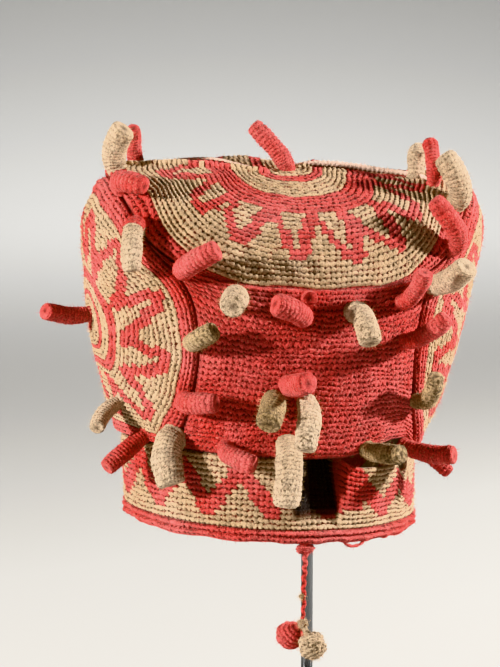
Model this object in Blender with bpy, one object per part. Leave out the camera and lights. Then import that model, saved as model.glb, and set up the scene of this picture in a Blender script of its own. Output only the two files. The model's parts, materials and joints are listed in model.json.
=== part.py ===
"""Crocheted cap with stuffed burls, a hanging cord with two balls, and its display stand.

Metres, +Z up, front towards -Y. The origin is the centre of the base plate's underside,
on the rod's axis. "Left" and "right" are the viewer's, seen from the front.
"""

import math
from collections import namedtuple

import bmesh
import bpy
import numpy as np
from mathutils import Euler, Matrix, Vector

for old_object in list(bpy.data.objects):
    bpy.data.objects.remove(old_object, do_unlink=True)

# Sizes of the cap
RIM_RADIUS = 0.090
WAIST_RADIUS = 0.091
BAND_HEIGHT = 0.050
EDGING_HEIGHT = 0.007
EDGING_PROUD = 0.0005
CROWN_RISE = 0.165
HALF_WIDTH = 0.125
HALF_DEPTH = 0.092
HEART_SHARE = 0.424  # height of the crown's heart, from which its surface is measured
WALL = 0.0035
GAP = 0.0003
LEAN = 2.7  # degrees, the cap's tilt to the viewer's right on its stand

# Sizes of the burls
BURL_LENGTH = 0.036
BURL_RADIUS = 0.006
BURL_SIDES = 10
BURL_BEND = 0.45  # how far a burl runs square to the cap before it bends, share of its reach

# Sizes of the pendant
CORD_DIAMETER = 0.0036
TIE_WIDTH = 0.011
TIE_DEPTH = 0.005
TIE_HEIGHT = 0.006
KNOT_RADIUS = 0.0026
BALL_RADIUS = 0.0081
NECK_RADIUS = 0.0014
BALL_SIDES = 12

# Sizes of the stand
RIM_ABOVE_FLOOR = 0.134
BASE_RADIUS = 0.080
BASE_THICKNESS = 0.008
ROD_RADIUS = 0.00375
REST_RADIUS = 0.038
REST_THICKNESS = 0.008
REST_CLEARANCE = 0.0010
ROD_OFFSET = (-0.0233, 0.0058)  # rim centre from the rod's axis

# The crown's outline from the front, from the waist up to the top centre
Profile = namedtuple("Profile", "reach_share height_share")
SIDE_PROFILE = [
    Profile(0.80, 0.10),
    Profile(0.85, 0.22),
    Profile(0.90, 0.34),
    Profile(0.93, 0.43),
    Profile(0.955, 0.52),
    Profile(0.975, 0.61),
    Profile(0.995, 0.71),
    Profile(1.00, 0.79),
    Profile(0.965, 0.87),
    Profile(0.90, 0.94),
    Profile(0.83, 0.975),
    Profile(0.64, 0.985),
    Profile(0.32, 0.99),
    Profile(0.00, 1.00),
]
# The crown's outline from the side, front and back alike
FRONT_PROFILE = [
    Profile(1.00, 0.15),
    Profile(1.00, 0.30),
    Profile(0.985, 0.42),
    Profile(0.95, 0.52),
    Profile(0.89, 0.59),
    Profile(0.855, 0.64),
    Profile(0.79, 0.72),
    Profile(0.67, 0.81),
    Profile(0.50, 0.89),
    Profile(0.24, 0.96),
    Profile(0.00, 1.00),
]

# Humps and dents: where, how wide in degrees, and how deep as a share of the wall
Dent = namedtuple("Dent", "azimuth elevation spread wall_share")
CROWN_DENTS = [
    Dent(-145, 69, 15, 3.6),  # hump behind the top's fold
    Dent(-95, 58, 14, 1.4),  # raised left end of the fold
    Dent(100, 74, 16, 1.1),  # raised right end of the fold
    Dent(88, 33, 12, 1.5),  # fuller right corner
    Dent(88, -43, 12, -3.6),  # waist pushed in at the right
    Dent(88, -24, 9, 1.1),  # bulge above the pushed-in waist
    Dent(-90, -14, 24, 1.1),  # bulge low on the left
    Dent(-88, -38, 9, 1.2),  # waist bulging at the left
]
PLEAT = Dent(7, 0, 6, -2.6)  # the band's inward fold at the front

# The side discs' edge, seen from the side: angle from the top towards the front, and reach
EdgeRow = namedtuple("EdgeRow", "angle reach")
SIDE_EDGE = [
    EdgeRow(0, 38.5),
    EdgeRow(16, 37.6),
    EdgeRow(34, 37.4),
    EdgeRow(44, 37.6),
    EdgeRow(53, 39.5),
    EdgeRow(62, 42.8),
    EdgeRow(73, 45.8),
    EdgeRow(87, 47.5),
    EdgeRow(110, 48.7),
    EdgeRow(130, 49.3),
]
CREST_ANGLE = 44  # where the top disc's edge leaves the side disc's
WAIST_CORNER = 56  # azimuth where the side discs' edge meets the waist

# The top disc's front edge: azimuth and elevation, up to where it meets the side discs
TOP_EDGE = [
    EdgeRow(0, 20.5),
    EdgeRow(20, 20.4),
    EdgeRow(35, 20.2),
    EdgeRow(46, 21.0),
    EdgeRow(55, 23.2),
]

# The band's free upper edge at the front right: azimuth and share of the droop
DROOP = 0.009
EDGE_DROOP = [
    EdgeRow(14, 0.0),
    EdgeRow(22, 0.6),
    EdgeRow(34, 0.8),
    EdgeRow(43, 0.7),
    EdgeRow(48, 1.4),
    EdgeRow(53, 0.4),
    EdgeRow(58, 0.0),
]

# Cells of each panel
FRONT_CELLS = 12
CORNER_CELLS = 6
SIDE_CELLS = 9
BOTTOM_CELLS = 4
DISC_RINGS = 8
BAND_CELLS = 60
BAND_ROWS = 4

# Where each burl stands on the cap, how it points, and its size. Lift is upwards along the
# cap, turn towards the viewer's right, both in degrees from square to the cap.
Burl = namedtuple("Burl", "name azimuth elevation lift turn length_share radius_share yarn")
FRONT_BURLS = [
    Burl("burl_crown_centre", -6, 86, 29, -46, 1.02, 0.93, "red_yarn"),
    Burl("burl_peak_left_pale", -91, 41, 34, 20, 0.82, 1.24, "natural_yarn"),
    Burl("burl_peak_left_back", -102, 45, 34, 18, 0.80, 0.76, "red_yarn"),
    Burl("burl_peak_left_front", -78, 37, -8, 72, 0.84, 1.03, "red_yarn"),
    Burl("burl_corner_left", -66, 29.5, -70, 30, 0.98, 1.03, "natural_yarn"),
    Burl("burl_disc_left_centre", -88, 2, 14, 16, 0.94, 0.88, "red_yarn"),
    Burl("burl_disc_left_low", -78, -25, -10, 29, 0.89, 0.82, "natural_yarn"),
    Burl("burl_disc_left_bottom", -69, -35, -4, 0, 1.00, 0.88, "red_yarn"),
    Burl("burl_front_left_high", -49.5, 21, 23, 51, 0.98, 1.13, "red_yarn"),
    Burl("burl_front_left_pale", -31, 14, -24, -2, 0.84, 1.29, "natural_yarn"),
    Burl("burl_front_left_worn", -44, -2, 25, 50, 0.80, 0.98, "worn_yarn"),
    Burl("burl_front_centre_high", -6, 9, 8, -44, 0.94, 1.13, "red_yarn"),
    Burl("burl_front_left_mid", -47, -21, 6, 68, 0.89, 1.03, "red_yarn"),
    Burl("burl_front_left_low", -32, -35, -8, 58, 0.84, 0.93, "red_yarn"),
    Burl("burl_front_right_bent", 15, 11, -50, 0, 0.94, 1.13, "natural_yarn"),
    Burl("burl_front_centre_mid", -10, -15, 10, 18, 0.84, 1.13, "red_yarn"),
    Burl("burl_front_centre_worn", -15, -21, -22, -10, 0.80, 1.26, "worn_yarn"),
    Burl("burl_front_centre_long", -3, -21.5, -42, -14, 1.06, 1.13, "natural_yarn"),
    Burl("burl_waist_centre", -9, -34, -54, -6, 1.16, 1.32, "natural_yarn"),
    Burl("burl_waist_left", -53, -33.5, -42, 28, 0.94, 1.50, "natural_yarn"),
    Burl("burl_front_right_high", 36, 13.5, 24, -3, 0.96, 0.88, "red_yarn"),
    Burl("burl_disc_right_pale", 51, 17.5, 19, -1, 0.94, 1.22, "natural_yarn"),
    Burl("burl_front_right_mid", 36, 0, 29, 12, 1.06, 0.88, "red_yarn"),
    Burl("burl_peak_right_front", 61, 27, 55, -72, 1.06, 1.03, "red_yarn"),
    Burl("burl_peak_right_pale", 71, 37, 66, -28, 0.92, 1.26, "natural_yarn"),
    Burl("burl_peak_right_red", 76, 44.5, 49, -2, 0.84, 0.78, "red_yarn"),
    Burl("burl_peak_right_back", 85, 48.5, 50, 28, 0.70, 0.98, "natural_yarn"),
    Burl("burl_front_right_worn", 45.5, -21, 47, -32, 0.89, 0.88, "worn_yarn"),
    Burl("burl_waist_right_worn", 23, -35, 12, 6, 0.89, 0.98, "worn_yarn"),
    Burl("burl_waist_right_long", 43, -35, 13, 4, 1.06, 0.93, "red_yarn"),
    Burl("burl_waist_right_thin", 50, -35.5, -14, 17, 0.88, 0.68, "red_yarn"),
    Burl("burl_front_nub", -4, 16, -17, -2, 0.40, 0.72, "red_yarn"),
]
BACK_BURLS = [
    Burl("burl_back_high_left", -140, 16, 10, 10, 0.94, 1.03, "red_yarn"),
    Burl("burl_back_high", -176, 12, -15, -12, 0.89, 1.18, "natural_yarn"),
    Burl("burl_back_high_right", 145, 14, 12, 20, 0.94, 0.98, "red_yarn"),
    Burl("burl_back_mid_left", -150, -10, -20, 15, 0.89, 1.03, "natural_yarn"),
    Burl("burl_back_mid_right", 160, -12, 5, -15, 0.94, 0.93, "red_yarn"),
    Burl("burl_back_waist_left", -145, -32, -30, 0, 1.00, 1.13, "red_yarn"),
    Burl("burl_back_waist_right", 150, -32, -32, 8, 1.06, 1.23, "natural_yarn"),
    Burl("burl_disc_right_back", 126, -14, 8, -6, 0.94, 0.88, "red_yarn"),
]
BURL_ROWS = [  # share along the burl's axis, share of its radius
    Profile(0.84, 0.00),
    Profile(0.96, 0.20),
    Profile(1.00, 0.47),
    Profile(1.00, 0.74),
    Profile(0.80, 0.90),
    Profile(0.42, 0.975),
]

# The pendant cord's route, in metres in the stand's own frame
CORD_ROUTE = [
    (-0.0236, -0.0825, 0.1270),
    (-0.0240, -0.0829, 0.1180),
    (-0.0246, -0.0826, 0.1080),
    (-0.0243, -0.0822, 0.0980),
    (-0.0252, -0.0824, 0.0875),
]
CORD_POINTS = 12
BALL_PLACES = {  # each ball's centre from the knot's
    "pendant_ball_red": ((-0.0056, 0.0070, -0.0086), "red_yarn"),
    "pendant_ball_pale": ((0.0044, -0.0062, -0.0124), "natural_yarn"),
}

Finish = namedtuple("Finish", "colour roughness metallic")
FINISHES = {
    "red_yarn": Finish((0.60, 0.035, 0.028), 0.92, 0.0),
    "natural_yarn": Finish((0.56, 0.40, 0.22), 0.92, 0.0),
    "worn_yarn": Finish((0.30, 0.23, 0.15), 0.95, 0.0),
    "steel": Finish((0.55, 0.56, 0.57), 0.30, 1.0),
    "rest_wood": Finish((0.40, 0.28, 0.17), 0.60, 0.0),
}

HEART = BAND_HEIGHT + HEART_SHARE * CROWN_RISE
WAIST_ELEVATION = -math.degrees(math.atan2(HEART - BAND_HEIGHT, WAIST_RADIUS))
SEAM = math.degrees(0.5 * GAP / HALF_DEPTH)  # half the gap between panels, as an angle
CAP_TILT = Euler((0, math.radians(LEAN), 0)).to_matrix().to_4x4()
CAP_PLACE = Matrix.Translation((*ROD_OFFSET, RIM_ABOVE_FLOOR)) @ CAP_TILT


def unit(vectors):
    """Scale vectors to length one."""
    return vectors / np.linalg.norm(vectors, axis=-1, keepdims=True)


def direction(azimuth, elevation):
    """Unit vectors from the heart; azimuth 0 is the front, 90 the viewer's right."""
    azimuth = np.radians(azimuth)
    elevation = np.radians(elevation)
    level = np.cos(elevation)
    return np.stack([level * np.sin(azimuth), -level * np.cos(azimuth), np.sin(elevation)], -1)


def angles(directions):
    """Azimuth and elevation of unit vectors, in degrees."""
    azimuth = np.degrees(np.arctan2(directions[..., 0], -directions[..., 1]))
    elevation = np.degrees(np.arcsin(np.clip(directions[..., 2], -1.0, 1.0)))
    return azimuth, elevation


def polar_profile(rows, reach):
    """Elevation and distance from the heart of a profile, carried a little past the top."""
    points = [(WAIST_RADIUS, BAND_HEIGHT)]
    points += [(row.reach_share * reach, BAND_HEIGHT + row.height_share * CROWN_RISE) for row in rows]
    across, height = np.array(points).T
    elevation = np.degrees(np.arctan2(height - HEART, across))
    distance = np.hypot(across, height - HEART)
    mirrored = slice(-2, -4, -1)
    elevation = np.concatenate([elevation, 180.0 - elevation[mirrored]])
    return elevation, np.concatenate([distance, distance[mirrored]])


def through(knots, values, at):
    """Smooth curve through the knots, with the slope that its neighbours give."""
    slopes = np.gradient(values, knots)
    cell = np.clip(np.searchsorted(knots, at) - 1, 0, len(knots) - 2)
    width = knots[cell + 1] - knots[cell]
    t = (at - knots[cell]) / width
    return (
        (2 * t**3 - 3 * t**2 + 1) * values[cell]
        + (t**3 - 2 * t**2 + t) * width * slopes[cell]
        + (3 * t**2 - 2 * t**3) * values[cell + 1]
        + (t**3 - t**2) * width * slopes[cell + 1]
    )


SIDE_CURVE = polar_profile(SIDE_PROFILE, HALF_WIDTH)
FRONT_CURVE = polar_profile(FRONT_PROFILE, HALF_DEPTH)


def surface(directions):
    """Points of the crown's outer surface, in the cap's own frame."""
    azimuth, elevation = angles(directions)
    turn = np.radians(azimuth)
    side = through(*SIDE_CURVE, elevation)
    front = through(*FRONT_CURVE, elevation)
    distance = 1.0 / np.sqrt((np.sin(turn) / side) ** 2 + (np.cos(turn) / front) ** 2)
    push = np.zeros_like(distance)
    for dent in CROWN_DENTS:
        centre = direction(dent.azimuth, dent.elevation)
        apart = np.degrees(np.arccos(np.clip(directions @ centre, -1.0, 1.0)))
        push += dent.wall_share * WALL * np.exp(-((apart / dent.spread) ** 2))
    outward = unit(directions * (1, 1, 0) + np.maximum(directions[..., 2:3], 0.0) * (0, 0, 1))
    points = directions * distance[..., None] + outward * push[..., None]
    return points + np.array((0.0, 0.0, HEART))


def tangents(directions):
    """Two unit vectors square to each direction."""
    helper = np.where(np.abs(directions[..., 2:3]) < 0.9, (0.0, 0.0, 1.0), (0.0, 1.0, 0.0))
    first = unit(np.cross(helper, directions))
    return first, np.cross(directions, first)


def normals(directions, step=0.01):
    """Outward unit normals of the crown's outer surface."""
    first, second = tangents(directions)
    along = surface(unit(directions + step * first)) - surface(unit(directions - step * first))
    across = surface(unit(directions + step * second)) - surface(unit(directions - step * second))
    return unit(np.cross(along, across))


def make_material(name):
    """Principled material of one finish, made once."""
    if name in bpy.data.materials:
        return bpy.data.materials[name]
    finish = FINISHES[name]
    material = bpy.data.materials.new(name)
    material.use_nodes = True
    shader = material.node_tree.nodes["Principled BSDF"]
    shader.inputs["Base Color"].default_value = (*finish.colour, 1.0)
    shader.inputs["Roughness"].default_value = finish.roughness
    shader.inputs["Metallic"].default_value = finish.metallic
    return material


def add_object(name, data, finish, parent=None):
    """Link an object that carries the data, in its finish."""
    part = bpy.data.objects.new(name, data)
    data.materials.append(make_material(finish))
    bpy.context.scene.collection.objects.link(part)
    part.parent = parent
    return part


def add_solid(name, points, faces, finish, parent=None):
    """Weld points and faces into one closed, outward-facing mesh."""
    mesh = bpy.data.meshes.new(name)
    mesh.from_pydata(points.reshape(-1, 3).tolist(), [], faces)
    shape = bmesh.new()
    shape.from_mesh(mesh)
    bmesh.ops.remove_doubles(shape, verts=shape.verts, dist=1e-7)
    bmesh.ops.recalc_face_normals(shape, faces=shape.faces)
    shape.to_mesh(mesh)
    shape.free()
    return add_object(name, mesh, finish, parent)


def strip_faces(first, second, closed):
    """Quads between two equal rows of vertex numbers."""
    last = len(first) if closed else len(first) - 1
    following = [(i + 1) % len(first) for i in range(last)]
    return [(first[i], first[j], second[j], second[i]) for i, j in zip(range(last), following)]


def add_shell(name, outer, inner, finish, parent, closed=False, pole=False):
    """A wall between two grids of rows; closed rows run round, a pole is row 0 at one point."""
    rows, columns = outer.shape[:2]
    number = np.arange(rows * columns).reshape(rows, columns)
    under = number + rows * columns
    faces = []
    for low, high in zip(range(rows - 1), range(1, rows)):
        faces += strip_faces(number[low], number[high], closed)
        faces += strip_faces(under[high], under[low], closed)
    if not pole:
        faces += strip_faces(under[0], number[0], closed)
    faces += strip_faces(number[-1], under[-1], closed)
    if not closed:
        faces += strip_faces(number[:, 0], under[:, 0], False)
        faces += strip_faces(under[:, -1], number[:, -1], False)
    return add_solid(name, np.stack([outer, inner]), [tuple(map(int, f)) for f in faces], finish, parent)


def add_skin(name, rings, finish, parent=None):
    """A closed body of rings, whose first and last ring are single points."""
    rows, columns = rings.shape[:2]
    number = np.arange(rows * columns).reshape(rows, columns)
    faces = []
    for low, high in zip(range(rows - 1), range(1, rows)):
        faces += strip_faces(number[low], number[high], True)
    return add_solid(name, rings, [tuple(map(int, f)) for f in faces], finish, parent)


def add_panel(name, directions, level_rows, finish, parent, **shape):
    """A panel of the crown, one wall thick; level_rows masks points trimmed at the waist."""
    outer = surface(directions)
    outer[level_rows, 2] = BAND_HEIGHT + GAP
    inner = outer - WALL * normals(directions)
    return add_shell(name, outer, inner, finish, parent, **shape)


def waist_corner():
    """Edge row where the side discs' edge meets the waist."""
    x, y, z = direction(WAIST_CORNER, WAIST_ELEVATION)
    return EdgeRow(math.degrees(math.atan2(-y, z)), math.degrees(math.acos(x)))


def side_reach(angle):
    """Reach of the side discs' edge at an angle from the top, front and back alike."""
    rows = SIDE_EDGE + [waist_corner()]
    back = [EdgeRow(-row.angle, row.reach) for row in rows[3:0:-1]]
    knots, values = np.array(back + rows, dtype=float).T
    return through(knots, values, np.abs(angle))


def side_direction(side, angle, reach):
    """Direction at an angle and reach on a side disc; side is -1 left, 1 right."""
    angle = np.radians(angle)
    reach = np.radians(reach)
    across = np.sin(reach)
    return np.stack([side * np.cos(reach), -across * np.sin(angle), across * np.cos(angle)], -1)


def front_edge(shift):
    """Elevations along the top disc's front edge, from crest to crest, moved by shift."""
    crest = crest_angles(1)
    rows = TOP_EDGE + [EdgeRow(crest[0], crest[1])]
    rows = [EdgeRow(-row.angle, row.reach) for row in rows[:0:-1]] + rows
    knots, values = np.array(rows, dtype=float).T
    azimuth = np.linspace(-crest[0], crest[0], FRONT_CELLS + 1)
    return np.stack([azimuth, through(knots, values, azimuth) + shift], -1)


def crest_angles(side):
    """Azimuth and elevation of the front crest, where three panels meet."""
    reach = side_reach(np.array([float(CREST_ANGLE)])) + SEAM
    azimuth, elevation = angles(side_direction(side, CREST_ANGLE, reach))
    return azimuth[0], elevation[0]


def corner_arc(side):
    """Azimuths and elevations of the top disc's edge along a side disc, front to back."""
    angle = np.linspace(CREST_ANGLE, -CREST_ANGLE, CORNER_CELLS + 1)
    azimuth, elevation = angles(side_direction(side, angle, side_reach(angle) + SEAM))
    return np.stack([np.where(azimuth * side < 0, azimuth + 360 * side, azimuth), elevation], -1)


def add_crown_disc(cap):
    """The top disc, from the top centre to its edge."""
    front = front_edge(SEAM)
    back = front + (180, 0)
    edge = [front[:-1], corner_arc(1)[:-1], back[:-1], corner_arc(-1)[::-1][:-1] + (360, 0)]
    azimuth, elevation = np.concatenate(edge).T
    share = np.linspace(0, 1, DISC_RINGS + 1)[:, None]
    grid = direction(azimuth + 0 * share, 90 - share * (90 - elevation))
    level = np.zeros(grid.shape[:2], dtype=bool)
    add_panel("crown_disc", grid, level, "natural_yarn", cap, closed=True, pole=True)


def add_side_disc(name, side, cap):
    """A side disc, from its centre to its edge, cut straight at the waist."""
    corner = waist_corner().angle
    crest = np.linspace(-CREST_ANGLE, CREST_ANGLE, CORNER_CELLS + 1)
    front = np.linspace(CREST_ANGLE, corner, SIDE_CELLS + 1)
    bottom = np.linspace(corner, 360 - corner, BOTTOM_CELLS + 1)
    edge_reach = np.concatenate([side_reach(crest[:-1]), side_reach(front[:-1])]) - SEAM
    rise = math.sin(math.radians(WAIST_ELEVATION))
    bottom_reach = np.degrees(np.arcsin(rise / np.cos(np.radians(bottom))))
    bottom_reach[[0, -1]] -= SEAM
    back_reach = side_reach(front[-2:0:-1]) - SEAM
    angle = np.concatenate([crest[:-1], front[:-1], bottom, 360 - front[-2:0:-1]])
    reach = np.concatenate([edge_reach, bottom_reach, back_reach])
    share = np.linspace(0, 1, DISC_RINGS)[:, None]
    grid = side_direction(side, angle + 0 * share, reach * share)
    level = np.zeros(grid.shape[:2], dtype=bool)
    first = len(edge_reach)
    level[-1, first:first + len(bottom)] = True
    add_panel(name, grid, level, "natural_yarn", cap, closed=True, pole=True)


def add_wrap_panel(name, turn, cap):
    """The front panel, or the back one when turned by 180 degrees, between four edges."""
    top = front_edge(-SEAM)
    angle = np.linspace(waist_corner().angle, CREST_ANGLE, SIDE_CELLS + 1)
    right = np.stack(angles(side_direction(1, angle, side_reach(angle) + SEAM)), -1)
    right[-1] = top[-1]
    left = right * (-1, 1)
    bottom = np.linspace(left[0], right[0], FRONT_CELLS + 1)
    u = np.linspace(0, 1, FRONT_CELLS + 1)[None, :, None]
    v = np.linspace(0, 1, SIDE_CELLS + 1)[:, None, None]
    grid = (1 - v) * bottom + v * top + (1 - u) * left[:, None] + u * right[:, None]
    grid -= (1 - v) * ((1 - u) * left[0] + u * right[0]) + v * ((1 - u) * left[-1] + u * right[-1])
    level = np.zeros(grid.shape[:2], dtype=bool)
    level[0] = True
    add_panel(name, direction(grid[..., 0] + turn, grid[..., 1]), level, "red_yarn", cap)


def band_radius(azimuth, share):
    """Outer radius of the band; share is 0 at the rim and 1 at the waist."""
    waist = surface(direction(azimuth, np.full_like(azimuth, WAIST_ELEVATION)))
    top = np.hypot(waist[..., 0], waist[..., 1])
    off = (azimuth - PLEAT.azimuth) / PLEAT.spread
    fold = PLEAT.wall_share * WALL * np.exp(-(off**2)) * np.clip(1.2 * share - 0.15, 0, 1)
    return RIM_RADIUS + (top - RIM_RADIUS) * share + fold


def add_ring(name, heights, radius, wall, finish, cap):
    """A wall that runs round the rim's axis; heights and radius are grids of rows."""
    azimuth = np.radians(np.linspace(-180, 180, BAND_CELLS, endpoint=False))
    around = np.stack([np.sin(azimuth), -np.cos(azimuth)], -1)[None]
    outer, inner = (
        np.concatenate([around * grid[..., None], heights[..., None]], -1)
        for grid in (radius, radius - wall)
    )
    add_shell(name, outer, inner, finish, cap, closed=True)


def add_band(cap):
    """The head band with its pleat and free edge, and the edging under it."""
    azimuth = np.linspace(-180, 180, BAND_CELLS, endpoint=False)[None]
    knots, shares = np.array(EDGE_DROOP, dtype=float).T
    top = BAND_HEIGHT - DROOP * np.interp(azimuth, knots, shares)
    share = np.linspace(0, 1, BAND_ROWS + 1)[:, None]
    heights = EDGING_HEIGHT + GAP + (top - EDGING_HEIGHT - GAP) * share
    radius = band_radius(azimuth + 0 * share, heights / BAND_HEIGHT)
    add_ring("head_band", heights, radius, WALL, "natural_yarn", cap)
    heights = np.array([[0.0], [EDGING_HEIGHT]]) + 0 * azimuth
    radius = np.full_like(heights, RIM_RADIUS + EDGING_PROUD)
    add_ring("rim_edging", heights, radius, WALL + 2 * EDGING_PROUD, "red_yarn", cap)


def add_burl(burl, cap):
    """A stuffed tube that stands on the cap's surface and bends towards its tip."""
    base = direction(burl.azimuth, burl.elevation)
    outward = normals(base)
    upward = unit(np.array((0.0, 0.0, 1.0)) - outward * outward[2])
    if abs(outward[2]) > 0.97:
        upward = unit(np.array((0.0, 1.0, 0.0)) - outward * outward[1])
    rightward = np.cross(upward, outward)
    lift, turn = math.radians(burl.lift), math.radians(burl.turn)
    aim = outward * math.cos(lift) * math.cos(turn) + upward * math.sin(lift)
    aim = aim + rightward * math.cos(lift) * math.sin(turn)
    reach = burl.length_share * BURL_LENGTH
    radius = burl.radius_share * BURL_RADIUS
    start = surface(base) + GAP * outward
    bend = start + BURL_BEND * reach * outward
    tip = start + reach * aim
    across = unit(np.cross(outward, aim))
    ring = np.linspace(0, 2 * math.pi, BURL_SIDES, endpoint=False)[:, None]
    rings = [np.repeat(start[None], BURL_SIDES, axis=0)]
    for row in BURL_ROWS:
        t = row.height_share
        centre = (1 - t) ** 2 * start + 2 * t * (1 - t) * bend + t**2 * tip
        along = unit((1 - t) * (bend - start) + t * (tip - bend))
        spoke = np.cos(ring) * np.cross(across, along) + np.sin(ring) * across
        rings.append(centre + radius * row.reach_share * spoke)
    seat = unit(rings[1] - (0.0, 0.0, HEART))
    rings[1] = surface(seat) + GAP * normals(seat)
    rings.append(np.repeat(tip[None], BURL_SIDES, axis=0))
    add_skin(burl.name, np.array(rings), burl.yarn, cap)


def add_round(name, profile, centre, axis, finish, squash=(1, 1, 1)):
    """A body turned round an axis from rows of radius and height, made narrower by squash."""
    ring = np.linspace(0, 2 * math.pi, BALL_SIDES, endpoint=False)
    rings = [[(r * math.cos(a), r * math.sin(a), h) for a in ring] for r, h in profile]
    turn = np.array(Vector((0, 0, 1)).rotation_difference(Vector(axis)).to_matrix())
    add_skin(name, np.array(rings) * squash @ turn.T + centre, finish)


def ball_profile(radius, rows):
    """Radius and height of a ball from pole to pole."""
    steps = [math.pi * i / rows for i in range(rows + 1)]
    return [(radius * math.sin(a), -radius * math.cos(a)) for a in steps]


def add_pendant():
    """The tie under the rim, the cord, its knot and the two balls."""
    top = np.array(CORD_ROUTE[0])
    end = np.array(CORD_ROUTE[-1])
    tie = [(r, h * TIE_HEIGHT / TIE_WIDTH) for r, h in ball_profile(TIE_WIDTH / 2, 6)]
    tie_centre = top + (0, 0, GAP + TIE_HEIGHT / 2)
    add_round("pendant_tie", tie, tie_centre, (0, 0, 1), "red_yarn", (1, TIE_DEPTH / TIE_WIDTH, 1))
    curve = bpy.data.curves.new("pendant_cord", "CURVE")
    curve.dimensions = "3D"
    curve.bevel_depth = CORD_DIAMETER / 2
    curve.bevel_resolution = 2
    curve.use_fill_caps = True
    spline = curve.splines.new("POLY")
    spline.points.add(CORD_POINTS - 1)
    knots = np.arange(len(CORD_ROUTE), dtype=float)
    at = np.linspace(0, knots[-1], CORD_POINTS)
    route = np.array([through(knots, values, at) for values in np.array(CORD_ROUTE).T]).T
    for point, place in zip(spline.points, route):
        point.co = (*place, 1.0)
    add_object("pendant_cord", curve, "red_yarn")
    knot = end - (0, 0, KNOT_RADIUS + GAP)
    add_round("pendant_knot", ball_profile(KNOT_RADIUS, 6), knot, (0, 0, 1), "natural_yarn")
    for name, (offset, finish) in BALL_PLACES.items():
        distance = float(np.linalg.norm(offset))
        neck = distance - KNOT_RADIUS - GAP
        profile = [row for row in ball_profile(BALL_RADIUS, 8) if row[1] < 0.85 * BALL_RADIUS]
        profile += [(NECK_RADIUS, neck - 0.5 * NECK_RADIUS), (0.5 * NECK_RADIUS, neck), (0.0, neck)]
        add_round(name, profile, knot + offset, [-value for value in offset], finish)


def add_cylinder(name, radius, bottom, top, sides, finish):
    """An upright cylinder on the stand's axis."""
    shape = bmesh.new()
    bmesh.ops.create_cone(
        shape, cap_ends=True, segments=sides, radius1=radius, radius2=radius, depth=top - bottom
    )
    bmesh.ops.translate(shape, verts=shape.verts, vec=(0, 0, (top + bottom) / 2))
    mesh = bpy.data.meshes.new(name)
    shape.to_mesh(mesh)
    shape.free()
    add_object(name, mesh, finish)


def add_stand():
    """The base plate, the rod, and the rest that fits under the crown."""
    place = np.array(CAP_PLACE)
    ring = np.radians(np.linspace(0, 360, 24, endpoint=False))[None]
    share = np.linspace(0, 1, 5)[:, None]
    across = REST_RADIUS * share * np.sin(ring) - ROD_OFFSET[0]
    along = -REST_RADIUS * share * np.cos(ring) - ROD_OFFSET[1]
    crown = HEART_SHARE * CROWN_RISE
    seat = unit(np.stack([across, along, np.full_like(across, CROWN_RISE - crown)], -1))
    top = surface(seat) - (WALL + REST_CLEARANCE) * normals(seat)
    top = top @ place[:3, :3].T + place[:3, 3]
    bottom = top.copy()
    bottom[..., 2] = top[..., 2].min() - REST_THICKNESS
    add_shell("crown_rest", top, bottom, "rest_wood", None, closed=True, pole=True)
    add_cylinder("stand_base", BASE_RADIUS, 0.0, BASE_THICKNESS, 64, "steel")
    rod_top = bottom[0, 0, 2] - GAP
    add_cylinder("stand_rod", ROD_RADIUS, BASE_THICKNESS + GAP, rod_top, 16, "steel")


def main():
    """Build the cap, its pendant and its stand."""
    cap = bpy.data.objects.new("cap", None)
    cap.matrix_world = CAP_PLACE
    bpy.context.scene.collection.objects.link(cap)
    add_crown_disc(cap)
    add_side_disc("side_disc_left", -1, cap)
    add_side_disc("side_disc_right", 1, cap)
    add_wrap_panel("front_panel", 0, cap)
    add_wrap_panel("back_panel", 180, cap)
    add_band(cap)
    for burl in FRONT_BURLS + BACK_BURLS:
        add_burl(burl, cap)
    add_pendant()
    add_stand()


main()
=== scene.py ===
"""The crocheted cap with its burls, pendant and stand, dressed for its picture.

Metres, +Z up, front towards -Y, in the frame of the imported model. "Left" and "right" are the
viewer's, seen from the front. The cap's own frame has the rim's centre at its origin; a
CapForm puts it on the stand. Every crocheted piece is a grid whose rows and columns follow
the rows and stitches of the work, so the relief, the colour and the grid agree.
"""

import json
import logging
import math
from dataclasses import dataclass, field
from enum import Enum
from typing import Callable

import bpy
import numpy as np
from mathutils import Matrix, Vector

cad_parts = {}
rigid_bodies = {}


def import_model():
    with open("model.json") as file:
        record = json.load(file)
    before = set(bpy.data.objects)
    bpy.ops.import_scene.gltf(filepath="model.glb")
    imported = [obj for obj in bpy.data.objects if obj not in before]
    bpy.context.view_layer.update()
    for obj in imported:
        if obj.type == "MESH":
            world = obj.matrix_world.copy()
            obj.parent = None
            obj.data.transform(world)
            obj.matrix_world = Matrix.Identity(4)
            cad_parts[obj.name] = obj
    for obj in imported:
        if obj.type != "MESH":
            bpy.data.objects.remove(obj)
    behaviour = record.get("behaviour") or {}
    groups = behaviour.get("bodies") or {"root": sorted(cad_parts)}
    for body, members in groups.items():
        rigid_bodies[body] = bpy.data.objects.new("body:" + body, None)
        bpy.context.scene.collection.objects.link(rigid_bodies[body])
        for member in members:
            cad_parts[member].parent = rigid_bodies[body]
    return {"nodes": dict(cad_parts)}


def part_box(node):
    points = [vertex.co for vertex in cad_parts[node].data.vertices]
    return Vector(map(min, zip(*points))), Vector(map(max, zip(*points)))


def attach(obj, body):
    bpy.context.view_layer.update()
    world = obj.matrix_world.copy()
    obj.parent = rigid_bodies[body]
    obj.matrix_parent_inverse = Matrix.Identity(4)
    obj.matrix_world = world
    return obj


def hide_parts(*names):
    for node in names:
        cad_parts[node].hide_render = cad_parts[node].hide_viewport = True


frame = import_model()

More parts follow.
